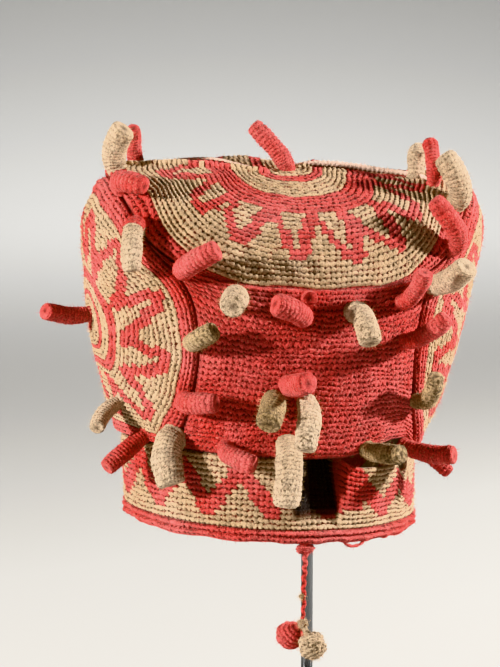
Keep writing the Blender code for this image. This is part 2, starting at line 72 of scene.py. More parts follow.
Array = np.ndarray
Material = bpy.types.Material
Piece = bpy.types.Object
Colour = tuple[float, float, float]
Pattern = Callable[[Array, Array], Array]
Fold = Callable[[Array, Array, Array], tuple[Array, Array, Array]]
log = logging.getLogger("cap")


class Yarn(Enum):
    """The yarns of the cap, by the record's material slots."""

    RED = "red_yarn"
    NATURAL = "natural_yarn"
    WORN = "worn_yarn"


RED, NATURAL, WORN = Yarn


def unit(vectors: Array) -> Array:
    """Scale vectors to length one."""
    return vectors / np.linalg.norm(vectors, axis=-1, keepdims=True)


def direction(azimuth: Array, elevation: Array) -> Array:
    """Unit vectors from the heart; azimuth 0 is the front, 90 the viewer's right, in degrees."""
    azimuth = np.radians(azimuth)
    elevation = np.radians(elevation)
    level = np.cos(elevation)
    return np.stack([level * np.sin(azimuth), -level * np.cos(azimuth), np.sin(elevation)], -1)


def angles(directions: Array) -> tuple[Array, Array]:
    """Azimuth and elevation of unit vectors, in degrees."""
    azimuth = np.degrees(np.arctan2(directions[..., 0], -directions[..., 1]))
    elevation = np.degrees(np.arcsin(np.clip(directions[..., 2], -1.0, 1.0)))
    return azimuth, elevation


def side_direction(side: int, angle: Array, reach: Array) -> Array:
    """Directions at an angle from the top towards the front, and a reach from the side's middle.

    Args:
        side: -1 for the left side, 1 for the right.
        angle: Degrees from straight up towards the front.
        reach: Degrees from the side's middle.

    Returns:
        Unit vectors from the heart.
    """
    angle = np.radians(angle)
    reach = np.radians(reach)
    across = np.sin(reach)
    return np.stack([side * np.cos(reach), -across * np.sin(angle), across * np.cos(angle)], -1)


def through(knots: Array, values: Array, at: Array) -> Array:
    """Smooth curve through knots: cubic pieces whose slopes are those of the neighbours."""
    slopes = np.gradient(values, knots)
    cell = np.clip(np.searchsorted(knots, at) - 1, 0, len(knots) - 2)
    width = knots[cell + 1] - knots[cell]
    t = (at - knots[cell]) / width
    return (
        (2 * t**3 - 3 * t**2 + 1) * values[cell]
        + (t**3 - 2 * t**2 + t) * width * slopes[cell]
        + (3 * t**2 - 2 * t**3) * values[cell + 1]
        + (t**3 - t**2) * width * slopes[cell + 1]
    )


def bump(offset: Array, width: float) -> Array:
    """A smooth hump of height one: the exponential of minus (offset over width) squared."""
    return np.exp(-((offset / width) ** 2))


def wander(points: Array, size: float, seed: int) -> Array:
    """Slow uneven swelling from -1 to 1: the mean of six sine waves in random directions.

    Args:
        points: Places, in metres.
        size: Length of one swell, in metres.
        seed: Seed of the directions and phases.

    Returns:
        One value for each point.
    """
    rng = np.random.default_rng(seed)
    waves = rng.normal(size=(6, 3))
    waves = unit(waves) * (2 * math.pi / size) * rng.uniform(0.6, 1.4, (6, 1))
    phases = rng.uniform(0, 2 * math.pi, 6)
    return np.sin(points @ waves.T + phases).mean(-1) * 1.8


def mixed(table: Array, row: Array, column: Array) -> Array:
    """Values of a table at any row and column, by straight mixing of the four around."""
    i = np.clip(np.floor(row).astype(int), 0, table.shape[0] - 2)
    j = np.clip(np.floor(column).astype(int), 0, table.shape[1] - 2)
    a, b = row - i, column - j
    low = table[i, j] * (1 - b) + table[i, j + 1] * b
    high = table[i + 1, j] * (1 - b) + table[i + 1, j + 1] * b
    return low * (1 - a) + high * a


def travelled(points: Array) -> Array:
    """Distance from the first row of points to each row, point by point."""
    steps = np.linalg.norm(np.diff(points, axis=0), axis=-1)
    return np.concatenate([0 * steps[:1], np.cumsum(steps, 0)])


def at_levels(wanted: Array, levels: Array, values: Array) -> Array:
    """Values at the wanted levels, column by column, between known levels."""
    columns = range(wanted.shape[1])
    return np.stack([np.interp(wanted[:, c], levels[:, c], values[:, c]) for c in columns], 1)


def mesh_grid(lines: Array, share: Array) -> tuple[Array, Array]:
    """Row and share of every point of a grid."""
    row, fraction = np.broadcast_arrays(lines[:, None], share[None])
    return row, fraction


def turns(count: int) -> Array:
    """Equal steps of angle round a full turn."""
    return 2 * math.pi * np.arange(count) / count


def spokes(along: Array, other: Array, turn: Array) -> Array:
    """Unit vectors round lines, at angles from the cross product with another vector."""
    first = unit(np.cross(along, other))
    second = np.cross(along, first)
    return first[:, None] * np.cos(turn)[:, None] + second[:, None] * np.sin(turn)[:, None]


@dataclass
class CapForm:
    """The cap's outer surface and its place on the stand."""

    rim_radius: float = 0.090
    waist_radius: float = 0.091
    band_height: float = 0.050
    edging_height: float = 0.007
    crown_rise: float = 0.165
    half_width: float = 0.125
    half_depth: float = 0.092
    heart_share: float = 0.424
    wall: float = 0.0035
    lean: float = 2.7
    rim_offset: tuple[float, float] = (-0.0233, 0.0058)
    rim_height: float = 0.134
    # reach and height shares of the crown's outline from the front and from the side
    side_profile: tuple = (
        (0.80, 0.10), (0.85, 0.22), (0.90, 0.34), (0.93, 0.43), (0.955, 0.52),
        (0.975, 0.61), (0.995, 0.71), (1.00, 0.79), (0.965, 0.87), (0.90, 0.94),
        (0.83, 0.975), (0.64, 0.985), (0.32, 0.99), (0.00, 1.00),
    )
    front_profile: tuple = (
        (1.00, 0.15), (1.00, 0.30), (0.985, 0.42), (0.95, 0.52), (0.89, 0.59),
        (0.855, 0.64), (0.79, 0.72), (0.67, 0.81), (0.50, 0.89), (0.24, 0.96), (0.00, 1.00),
    )
    # azimuth, elevation, spread in degrees and depth as a share of the wall
    dents: tuple = (
        (-145, 69, 15, 3.6), (-95, 58, 14, 1.4), (100, 74, 16, 1.1), (88, 33, 12, 1.5),
        (88, -43, 12, -3.6), (88, -24, 9, 1.1), (-90, -14, 24, 1.1), (-88, -38, 9, 1.2),
    )
    # the side discs' edge: angle from the top towards the front, and reach
    side_edge: tuple = (
        (0, 38.5), (16, 37.6), (34, 37.4), (44, 37.6), (53, 39.5), (62, 42.8),
        (73, 45.8), (87, 47.5), (110, 48.7), (130, 49.3),
    )
    # the top disc's front edge: azimuth and elevation
    top_edge: tuple = ((0, 20.5), (20, 20.4), (35, 20.2), (46, 21.0), (55, 23.2))
    crest_angle: float = 44.0
    waist_corner: float = 56.0
    curves: dict = field(init=False)

    def __post_init__(self) -> None:
        """Work out the outline curves once."""
        self.heart = self.band_height + self.heart_share * self.crown_rise
        drop = math.atan2(self.heart - self.band_height, self.waist_radius)
        self.waist_elevation = -math.degrees(drop)
        self.curves = {
            "side": self.polar_profile(self.side_profile, self.half_width),
            "front": self.polar_profile(self.front_profile, self.half_depth),
        }
        turn = Matrix.Rotation(math.radians(self.lean), 4, "Y")
        self.matrix = np.array(Matrix.Translation((*self.rim_offset, self.rim_height)) @ turn)

    def polar_profile(self, rows: tuple, reach: float) -> tuple[Array, Array]:
        """Elevation and distance from the heart of an outline, carried a little past the top."""
        points = [(self.waist_radius, self.band_height)]
        points += [(a * reach, self.band_height + b * self.crown_rise) for a, b in rows]
        across, height = np.array(points).T
        elevation = np.degrees(np.arctan2(height - self.heart, across))
        distance = np.hypot(across, height - self.heart)
        mirrored = slice(-2, -4, -1)
        elevation = np.concatenate([elevation, 180.0 - elevation[mirrored]])
        return elevation, np.concatenate([distance, distance[mirrored]])

    def surface(self, directions: Array) -> Array:
        """Points of the crown, in the cap's frame.

        The distance from the heart is that of an ellipse between the two outlines at the
        direction's elevation, and each dent pushes it in or out by a round hump.
        """
        azimuth, elevation = angles(directions)
        turn = np.radians(azimuth)
        side = through(*self.curves["side"], elevation)
        front = through(*self.curves["front"], elevation)
        distance = 1.0 / np.sqrt((np.sin(turn) / side) ** 2 + (np.cos(turn) / front) ** 2)
        push = np.zeros_like(distance)
        for dent_azimuth, dent_elevation, spread, depth in self.dents:
            centre = direction(dent_azimuth, dent_elevation)
            apart = np.degrees(np.arccos(np.clip(directions @ centre, -1.0, 1.0)))
            push += depth * self.wall * bump(apart, spread)
        upward = np.maximum(directions[..., 2:3], 0.0) * (0, 0, 1)
        outward = unit(directions * (1, 1, 0) + upward)
        points = directions * distance[..., None] + outward * push[..., None]
        return points + np.array((0.0, 0.0, self.heart))

    def normals(self, directions: Array, step: float = 0.01) -> Array:
        """Outward normals: the cross product of the surface's differences over a small step."""
        steep = np.abs(directions[..., 2:3]) >= 0.9
        first = unit(np.cross(np.where(steep, (0.0, 1.0, 0.0), (0.0, 0.0, 1.0)), directions))
        second = np.cross(directions, first)
        ends = [
            self.surface(unit(directions + sign * step * axis))
            for axis in (first, second)
            for sign in (1, -1)
        ]
        return unit(np.cross(ends[0] - ends[1], ends[2] - ends[3]))

    def place(self, points: Array) -> Array:
        """Points of the cap's frame, on the stand."""
        return points @ self.matrix[:3, :3].T + self.matrix[:3, 3]

    def side_reach(self, angle: Array) -> Array:
        """Reach of the side discs' edge at an angle from the top, front and back alike."""
        x, y, z = direction(self.waist_corner, self.waist_elevation)
        corner = (math.degrees(math.atan2(-y, z)), math.degrees(math.acos(x)))
        rows = [*self.side_edge, corner]
        knots, values = np.array([(-a, r) for a, r in rows[3:0:-1]] + rows, dtype=float).T
        return through(knots, values, np.abs(angle))

    def corner_angle(self) -> float:
        """Angle from the top at which the side discs' edge meets the waist."""
        _, y, z = direction(self.waist_corner, self.waist_elevation)
        return math.degrees(math.atan2(-y, z))

    def disc_reach(self, angle: Array) -> Array:
        """Reach of a side disc's edge all round, cut straight at the waist."""
        turned = np.abs((np.asarray(angle, float) + 180.0) % 360.0 - 180.0)
        corner = self.corner_angle()
        round_edge = self.side_reach(np.minimum(turned, corner))
        rise = math.sin(math.radians(self.waist_elevation))
        level = np.cos(np.radians(np.maximum(turned, corner)))
        cut = np.degrees(np.arcsin(np.clip(rise / level, -1.0, 1.0)))
        return np.where(turned <= corner, round_edge, cut)

    def crest(self) -> tuple[float, float]:
        """Azimuth and elevation of the front crest, where three panels meet."""
        reach = self.side_reach(np.array([self.crest_angle]))
        azimuth, elevation = angles(side_direction(1, self.crest_angle, reach))
        return float(azimuth[0]), float(elevation[0])

    def crown_edge(self, azimuth: Array) -> Array:
        """Elevation of the top disc's edge all round: its front edge, or the side discs' edge."""
        crest_azimuth, crest_elevation = self.crest()
        folded = np.abs((np.asarray(azimuth, float) + 180.0) % 360.0 - 180.0)
        folded = np.where(folded > 90.0, 180.0 - folded, folded)
        rows = [*self.top_edge, (crest_azimuth, crest_elevation)]
        knots, values = np.array([(-a, e) for a, e in rows[:0:-1]] + rows, dtype=float).T
        front = through(knots, values, np.minimum(folded, crest_azimuth))
        angle = np.linspace(self.crest_angle, 0.0, 40)
        arc_azimuth, arc_elevation = angles(side_direction(1, angle, self.side_reach(angle)))
        side = np.interp(folded, arc_azimuth, arc_elevation)
        return np.where(folded < crest_azimuth, front, side)


class Draft:
    """One piece's points, faces and values, gathered as whole arrays."""

    # The second value darkens creases, grooves, pockets, the burls' feet and the inner walls: it is
    # painted shade. The third is each stitch's random tone, raised to paint a highlight on the
    # fold's lip.
    VALUES = ("red", "deep", "tone", "soil")

    def __init__(self) -> None:
        """Start with nothing."""
        self.points: list[Array] = []
        self.values: dict[str, list[Array]] = {name: [] for name in self.VALUES}
        self.faces: dict[int, list[Array]] = {3: [], 4: []}
        self.uvs: dict[int, list[Array]] = {3: [], 4: []}
        self.count = 0

    def add(self, points: Array, closed: bool = False, **values: Array) -> Array:
        """Add a grid of points.

        Args:
            points: Grid of rows and columns of places.
            closed: Whether the columns run round, so the first follows the last.
            **values: Values of the grid's points by name; those left out are zero.

        Returns:
            The points' numbers, with the first column repeated at the end if closed.
        """
        shape = points.shape[:-1]
        number = self.count + np.arange(int(np.prod(shape))).reshape(shape)
        self.count += number.size
        self.points.append(points.reshape(-1, 3))
        for name in self.VALUES:
            value = np.broadcast_to(values.get(name, 0.0), shape)
            self.values[name].append(value.reshape(-1))
        return np.concatenate([number, number[..., :1]], -1) if closed else number

    def fill(self, number: Array, low: Array | None = None, high: Array | None = None) -> None:
        """Fill a grid of numbers with quads.

        Args:
            number: Numbers of the grid's points.
            low: Stitch coordinates along the lower edge of each row of faces.
            high: Stitch coordinates along the upper edge of each row of faces.
        """
        corners = [number[:-1, :-1], number[:-1, 1:], number[1:, 1:], number[1:, :-1]]
        self.faces[4].append(np.stack(corners, -1).reshape(-1, 4))
        if low is None or high is None:
            self.uvs[4].append(np.full((corners[0].size, 4, 2), 0.5))
            return
        uv = [low[:, :-1], low[:, 1:], high[:, 1:], high[:, :-1]]
        self.uvs[4].append(np.stack(uv, -2).reshape(-1, 4, 2))

    def triangles(self, corners: list[Array]) -> None:
        """Add triangles of three equal arrays of numbers."""
        faces = np.stack([np.ravel(c) for c in np.broadcast_arrays(*corners)], -1)
        self.faces[3].append(faces)
        self.uvs[3].append(np.full((len(faces), 3, 2), 0.5))

    def tips(self, number: Array, ends: Array, **values: Array) -> None:
        """Close a tube's two ends with fans of triangles to one point each."""
        first, last = self.add(ends[None], **values)[0]
        self.triangles([number[0, 1:], number[0, :-1], first])
        self.triangles([number[-1, :-1], number[-1, 1:], last])

    def zip(self, low: Array, high: Array) -> None:
        """Join two rows of numbers, one of which may have a whole number of times more steps."""
        steps_low, steps_high = len(low) - 1, len(high) - 1
        if steps_low == steps_high:
            self.fill(np.stack([low, high]))
        elif steps_low < steps_high:
            times = steps_high // steps_low
            first = low[:-1, None]
            upper = high[:-1].reshape(steps_low, times)
            after = high[1:].reshape(steps_low, times)
            self.triangles([first, after, upper])
            self.triangles([low[:-1], low[1:], high[times::times]])
        else:
            times = steps_low // steps_high
            lower = low[:-1].reshape(steps_high, times)
            after = low[1:].reshape(steps_high, times)
            self.triangles([lower, after, high[:-1, None]])
            self.triangles([low[times::times], high[1:], high[:-1]])

    def shape(self) -> tuple[Array, Array, Array]:
        """Points, quads and triangles, turned so that the closed body faces outwards."""
        points = np.concatenate(self.points)
        quads = np.concatenate(self.faces[4]) if self.faces[4] else np.zeros((0, 4), int)
        triangles = np.concatenate(self.faces[3]) if self.faces[3] else np.zeros((0, 3), int)
        flat = np.concatenate([quads[:, [0, 1, 2]], quads[:, [0, 2, 3]], triangles])
        a, b, c = (points[flat[:, i]] - points.mean(0) for i in range(3))
        if np.sum(a * np.cross(b, c)) < 0:
            quads, triangles = quads[:, ::-1], triangles[:, ::-1]
            for size in (3, 4):
                self.uvs[size] = [uv[:, ::-1] for uv in self.uvs[size]]
        return points, quads, triangles

    def piece(self, name: str, material: Material) -> Piece:
        """Make the object.

        Args:
            name: Name of the object and its mesh.
            material: Its one material.

        Returns:
            The object, at the origin, smooth shaded.
        """
        points, quads, triangles = self.shape()
        mesh = bpy.data.meshes.new(name)
        loops = np.concatenate([quads.ravel(), triangles.ravel()])
        quad_starts = 4 * np.arange(len(quads))
        starts = np.concatenate([quad_starts, 4 * len(quads) + 3 * np.arange(len(triangles))])
        mesh.vertices.add(len(points))
        mesh.loops.add(len(loops))
        mesh.polygons.add(len(starts))
        mesh.vertices.foreach_set("co", points.ravel())
        mesh.loops.foreach_set("vertex_index", loops.astype(np.int32))
        mesh.polygons.foreach_set("loop_start", starts.astype(np.int32))
        mesh.polygons.foreach_set("use_smooth", np.ones(len(starts), dtype=bool))
        uv = [np.concatenate(self.uvs[n]).reshape(-1) for n in (4, 3) if self.uvs[n]]
        layer = mesh.uv_layers.new(name="stitch")
        layer.data.foreach_set("uv", np.concatenate(uv))
        for value, parts in self.values.items():
            attribute = mesh.attributes.new(value, "FLOAT", "POINT")
            attribute.data.foreach_set("value", np.concatenate(parts).astype(np.float32))
        mesh.update(calc_edges=True)
        mesh.materials.append(material)
        piece = bpy.data.objects.new(name, mesh)
        bpy.context.scene.collection.objects.link(piece)
        log.info("%s: %d points, %d faces", name, len(points), len(starts))
        return piece


STITCH_LEAN = 0.25
# the two upper strands of a stitch, folded onto one side: start, then step, and half width
STRAND = ((0.05, 0.04), (0.38, 0.84), 0.30)
# the pit between stitches: half its width and height, in stitches and rows, and its level
PIT = (0.30, 0.34)
PIT_LEVEL = 0.06


@dataclass(frozen=True)
class Weave:
    """How the work looks: how deep the grooves between rows are, and how open its Vs."""

    ribbing: float
    vee: float
    pits: float

    def height(self, u: Array, v: Array) -> Array:
        """Height of a single crochet stitch from 0 to 1, over its own leaning square.

        The row is a rib, the sine of half a turn up the row to the power of the ribbing. The
        stitch is a mix of a block, which swells by the square root of the same sine across
        it, and of two rods in a V, whose height is the square root of one minus (distance
        from the rod's line over its half width) squared. A pit at each lower corner of the
        stitch takes away its own share, one minus the squares of the place in an oval.

        Args:
            u: Place across the stitch, from 0 to 1.
            v: Place up the stitch, from 0 to 1.

        Returns:
            The height at each place, 0 along the groove between rows.
        """
        rib = np.maximum(np.sin(math.pi * np.clip(v, 0, 1)), 1e-4) ** self.ribbing
        block = 0.4 + 0.6 * np.sqrt(np.clip(np.sin(math.pi * u), 0, 1))
        (x0, y0), (dx, dy), half = STRAND
        x, y = np.abs(u - 0.5) - x0, v - y0
        t = np.clip((x * dx + y * dy) / (dx * dx + dy * dy), 0, 1)
        square = (x - t * dx) ** 2 + (y - t * dy) ** 2
        rod = np.sqrt(np.clip(1.0 - square / half**2, 0, 1))
        side, level = np.minimum(u, 1 - u), np.mod(v - PIT_LEVEL + 0.5, 1) - 0.5
        pit = np.clip(1.0 - (side / PIT[0]) ** 2 - (level / PIT[1]) ** 2, 0, 1)
        body = rib * (block * (1 - self.vee) + (0.15 + 0.85 * rod) * self.vee)
        return body * (1 - self.pits * pit)


DISC_WEAVE = Weave(0.30, 0.40, 0.85)
PLAIN_WEAVE = Weave(0.14, 0.80, 0.8)
BURL_WEAVE = Weave(0.16, 0.45, 0.35)


def all_red(fraction: Array, row: Array) -> Array:
    """The pattern of plain work: every stitch is red."""
    return np.ones(np.broadcast(fraction, row).shape)


@dataclass
class StitchPlan:
    """The stitches of a panel: how many each row has, and which are red."""

    counts: Array
    red: Pattern
    seed: int
    look: Weave = DISC_WEAVE
    peeking: float = 0.35

    def __post_init__(self) -> None:
        """Draw each stitch's own lot, and ask the pattern for its colour."""
        rng = np.random.default_rng(self.seed)
        most = int(self.counts.max())
        shape = (len(self.counts), most)
        self.strength = rng.normal(1.0, 0.14, shape)
        self.tone = rng.random(shape)
        self.peek = rng.random(shape) < self.peeking
        row = np.arange(len(self.counts))[:, None] + 0.5 + np.zeros(shape)
        fraction = (np.arange(most) + 0.5) / self.counts[:, None]
        self.colour = self.red(np.minimum(fraction, 1.0), row).astype(float)

    def weave(self, row: Array, fraction: Array) -> dict[str, Array]:
        """Height and values of the work at places given by row and share of the way round.

        Args:
            row: Rows counted from the panel's start, whole at the edges between rows.
            fraction: Share of the way along the row.

        Returns:
            height from 0 to 1, tone, and red, where a stitch with red behind it has 0.3.
        """
        k = np.clip(np.floor(row + 1e-9).astype(int), 0, len(self.counts) - 1)
        v = row - k
        along = fraction * self.counts[k] + STITCH_LEAN * (v - 0.5)
        j = np.floor(along + 1e-9).astype(int)
        u = along - j
        j %= self.counts[k]
        height = self.look.height(u, v) * self.strength[k, j]
        red = np.maximum(self.colour[k, j], 0.3 * self.peek[k, j])
        return {"height": height, "tone": self.tone[k, j], "red": red}

    def coordinates(self, row: Array, fraction: Array) -> tuple[Array, Array]:
        """Stitch coordinates along the lower and upper edge of each row of faces.

        Args:
            row: Rows of the grid's lines, a column.
            fraction: Shares of the way round of the grid's columns, with the closing one.

        Returns:
            Two grids of (stitch, row) pairs, in which the stitches lean as their relief does.
        """
        k = np.clip(np.floor(row[:-1] + 1e-9).astype(int), 0, len(self.counts) - 1)
        along = fraction[None] * self.counts[k][:, None]
        edges = []
        for line in (row[:-1], row[1:]):
            level = line[:, None] + 0 * along
            edges.append(np.stack([along + STITCH_LEAN * (level - k[:, None] - 0.5), level], -1))
        return edges[0], edges[1]


def in_polar_plane(fraction: Array, row: Array) -> Array:
    """Places in a flat disc: the row is the distance from the middle, the share the turn."""
    turn = 2 * math.pi * fraction
    return np.stack([row * np.cos(turn), row * np.sin(turn)], -1)


def near_line(places: Array, corners: Array, half: Array) -> Array:
    """Whether places lie on the closed line through the corners, half as wide as given at each."""
    found = np.zeros(places.shape[:-1], dtype=bool)
    for i, start in enumerate(corners):
        j = (i + 1) % len(corners)
        step = corners[j] - start
        t = np.clip(((places - start) @ step) / (step @ step), 0.0, 1.0)
        away = np.linalg.norm(places - start - t[..., None] * step, axis=-1)
        found |= away < half[i] + (half[j] - half[i]) * t
    return found


@dataclass
class Sunburst:
    """A disc's pattern: red rings and a red zigzag on natural yarn, inside a red border."""

    rings: tuple[tuple[float, float], ...]
    # corners of the zigzag's middle line: share of the way round, row, and half the line's width
    zigzag: tuple[tuple[float, float, float], ...]
    field_rows: float

    def __call__(self, fraction: Array, row: Array) -> Array:
        """Whether the stitch at a share of the way round, in a row, is red."""
        red = row > self.field_rows
        for low, high in self.rings:
            red |= (row > low) & (row < high)
        share, corner_row, half = np.array(self.zigzag).T
        corners = in_polar_plane(share, corner_row)
        return red | near_line(in_polar_plane(fraction, row), corners, half)


@dataclass
class PolarPanel:
    """A panel worked in rounds from its middle, with a border of rows outside its field."""

    form: CapForm
    aim: Callable[[Array, Array], Array]
    field_edge: Callable[[Array], Array]
    edge: Callable[[Array], Array]
    field_rows: int
    border_rows: int
    columns: int
    stitch: float = 0.0033
    per_row: int = 4
    guides: int = 96
    relief: float = 0.0011
    # share of the field within which the rounds grow from circles to the edge's shape
    rounding: float = 0.01

    def __post_init__(self) -> None:
        """Lay out guides at equal steps round the field, and rows at equal steps along each."""
        angle = np.linspace(0, 360, 721)
        rim = self.form.surface(self.aim(angle, self.field_edge(angle)))
        along = travelled(rim)
        share = np.linspace(0, 1, self.guides + 1)
        self.angle = np.interp(share * along[-1], along, angle)
        inner, outer = self.field_edge(self.angle), self.edge(self.angle)
        sample = np.linspace(0, 1, 61)[:, None]
        reach = np.concatenate([inner * sample, inner + (outer - inner) * sample[1:]])
        points = self.form.surface(self.aim(self.angle + 0 * reach, reach))
        length = travelled(points)
        rows = self.field_rows + self.border_rows
        at_edge = length[len(sample) - 1]
        whole = np.arange(rows + 1)[:, None]
        grown = np.clip(whole / self.field_rows / self.rounding, 0, 1)
        grown = grown**2 * (3 - 2 * grown)
        wanted = np.where(
            whole <= self.field_rows,
            (at_edge * grown + at_edge.mean() * (1 - grown)) * whole / self.field_rows,
            at_edge + (length[-1] - at_edge) * (whole - self.field_rows) / self.border_rows,
        )
        self.reach = at_levels(wanted, length, reach)
        self.length = wanted
        ring = self.form.surface(self.aim(self.angle + 0 * self.reach, self.reach))
        girth = np.linalg.norm(np.diff(ring, axis=1), axis=-1).sum(1)
        stitches = np.round((girth[1:] + girth[:-1]) / 2 / self.stitch)
        self.counts = np.maximum(5, stitches).astype(int)

    def look_up(self, table: Array, row: Array, fraction: Array) -> Array:
        """Value of a table of rows and guides at any row and share, by straight mixing."""
        return mixed(table, row, np.mod(fraction, 1.0) * self.guides)

    def directions(self, row: Array, fraction: Array) -> Array:
        """Directions of places given by row and share of the way round."""
        place = np.mod(fraction, 1.0) * self.guides
        angle = np.interp(place, np.arange(self.guides + 1), self.angle)
        return self.aim(angle, self.look_up(self.reach, row, fraction))

    def from_edge(self, row: Array, fraction: Array) -> Array:
        """Distance along the surface from the panel's edge."""
        whole = self.look_up(self.length, np.full_like(row, len(self.length) - 1.0), fraction)
        return whole - self.look_up(self.length, row, fraction)

    def build(self, name: str, red: Pattern, material: Material, fold: Fold, seed: int) -> Piece:
        """Make the panel.

        Args:
            name: Name of the piece.
            red: The pattern, by share of the way round and row.
            material: The yarn.
            fold: Height, painted shade and painted highlight of the folds, by row, share and place.
            seed: Seed of the stitches' lots.

        Returns:
            The piece: a closed wall with the stitches on its outer face.
        """
        plan = StitchPlan(self.counts, red, seed)
        draft = Draft()
        total = self.field_rows + self.border_rows
        half, quarter = self.field_rows // 2, self.field_rows // 4
        zones = [(0, quarter, 4), (quarter, half, 2), (half, total, 1)]
        pole = self.form.surface(self.aim(np.zeros((1, 1)), np.zeros((1, 1))))
        # the middle point has a little painted shade
        middle = draft.add(self.form.place(pole), deep=0.4)[0, 0]
        previous: Array | None = None
        for first, last, thin in zones:
            lines = np.arange(first * self.per_row + 1, last * self.per_row + 1) / self.per_row
            columns = self.columns // thin
            share = np.arange(columns) / columns
            row, fraction = mesh_grid(lines, share)
            aimed = self.directions(row, fraction)
            base = self.form.surface(aimed)
            sway = 0.25 * wander(base, 0.035, seed) * np.clip((total - row) / 3, 0, 1)
            aimed = self.directions(np.maximum(row + sway * np.clip(row / 3, 0, 1), 0.01), fraction)
            base = self.form.surface(aimed)
            work = plan.weave(row, fraction)
            pitch = self.look_up(np.gradient(self.length, axis=0), row, fraction)
            firm = np.clip(pitch / (0.9 * self.stitch), 0.15, 1.0)
            rise = self.relief * (work.pop("height") - 0.65) * firm
            lift, deep, painted_lip_highlight = fold(row, fraction, base)
            rise = rise * (1 - 0.8 * painted_lip_highlight) + lift + 0.0004 * wander(base, 0.02, seed + 1)
            # painted shade in the folds' grooves, and a painted highlight on the lip, whose tone is
            # raised towards 1.6
            work["deep"] = deep
            work["tone"] = work["tone"] * (1 - painted_lip_highlight) + 1.6 * painted_lip_highlight
            points = base + rise[..., None] * self.form.normals(aimed)
            number = draft.add(self.form.place(points), closed=True, **work)
            draft.fill(number, *plan.coordinates(lines, np.append(share, 1.0)))
            if previous is None:
                draft.triangles([number[0, 1:], number[0, :-1], middle])
            else:
                draft.zip(previous, number[0])
            previous = number[-1]
        self.close(draft, plan, previous, fold)
        return draft.piece(name, material)

    def close(self, draft: Draft, plan: StitchPlan, rim: Array, fold: Fold) -> None:
        """Add the panel's inner face, one wall under the outer, from the edge to the middle."""
        total = self.field_rows + self.border_rows
        lines = np.arange(total, 0, -1.0)
        columns = self.columns // 4
        row, fraction = mesh_grid(lines, np.arange(columns) / columns)
        aimed = self.directions(row, fraction)
        base = self.form.surface(aimed)
        rise = np.minimum(fold(row, fraction, base)[0], 0.0) - self.form.wall
        points = base + rise[..., None] * self.form.normals(aimed)
        k = np.clip(row.astype(int) - 1, 0, total - 1)
        j = (fraction * self.counts[k]).astype(int)
        # the inner face is painted with shade
        number = draft.add(
            self.form.place(points), closed=True, red=plan.colour[k, j], tone=plan.tone[k, j],
            deep=0.6,
        )
        draft.zip(rim, number[0])
        share = np.append(np.arange(columns) / columns, 1.0)
        low, high = plan.coordinates(lines[::-1], share)
        draft.fill(number, low[::-1], high[::-1])
        top = self.aim(np.zeros((1, 1)), np.zeros((1, 1)))
        middle = self.form.surface(top) - self.form.wall * self.form.normals(top)
        under = draft.add(self.form.place(middle), deep=0.4)[0, 0]
        draft.triangles([number[-1, :-1], number[-1, 1:], under])


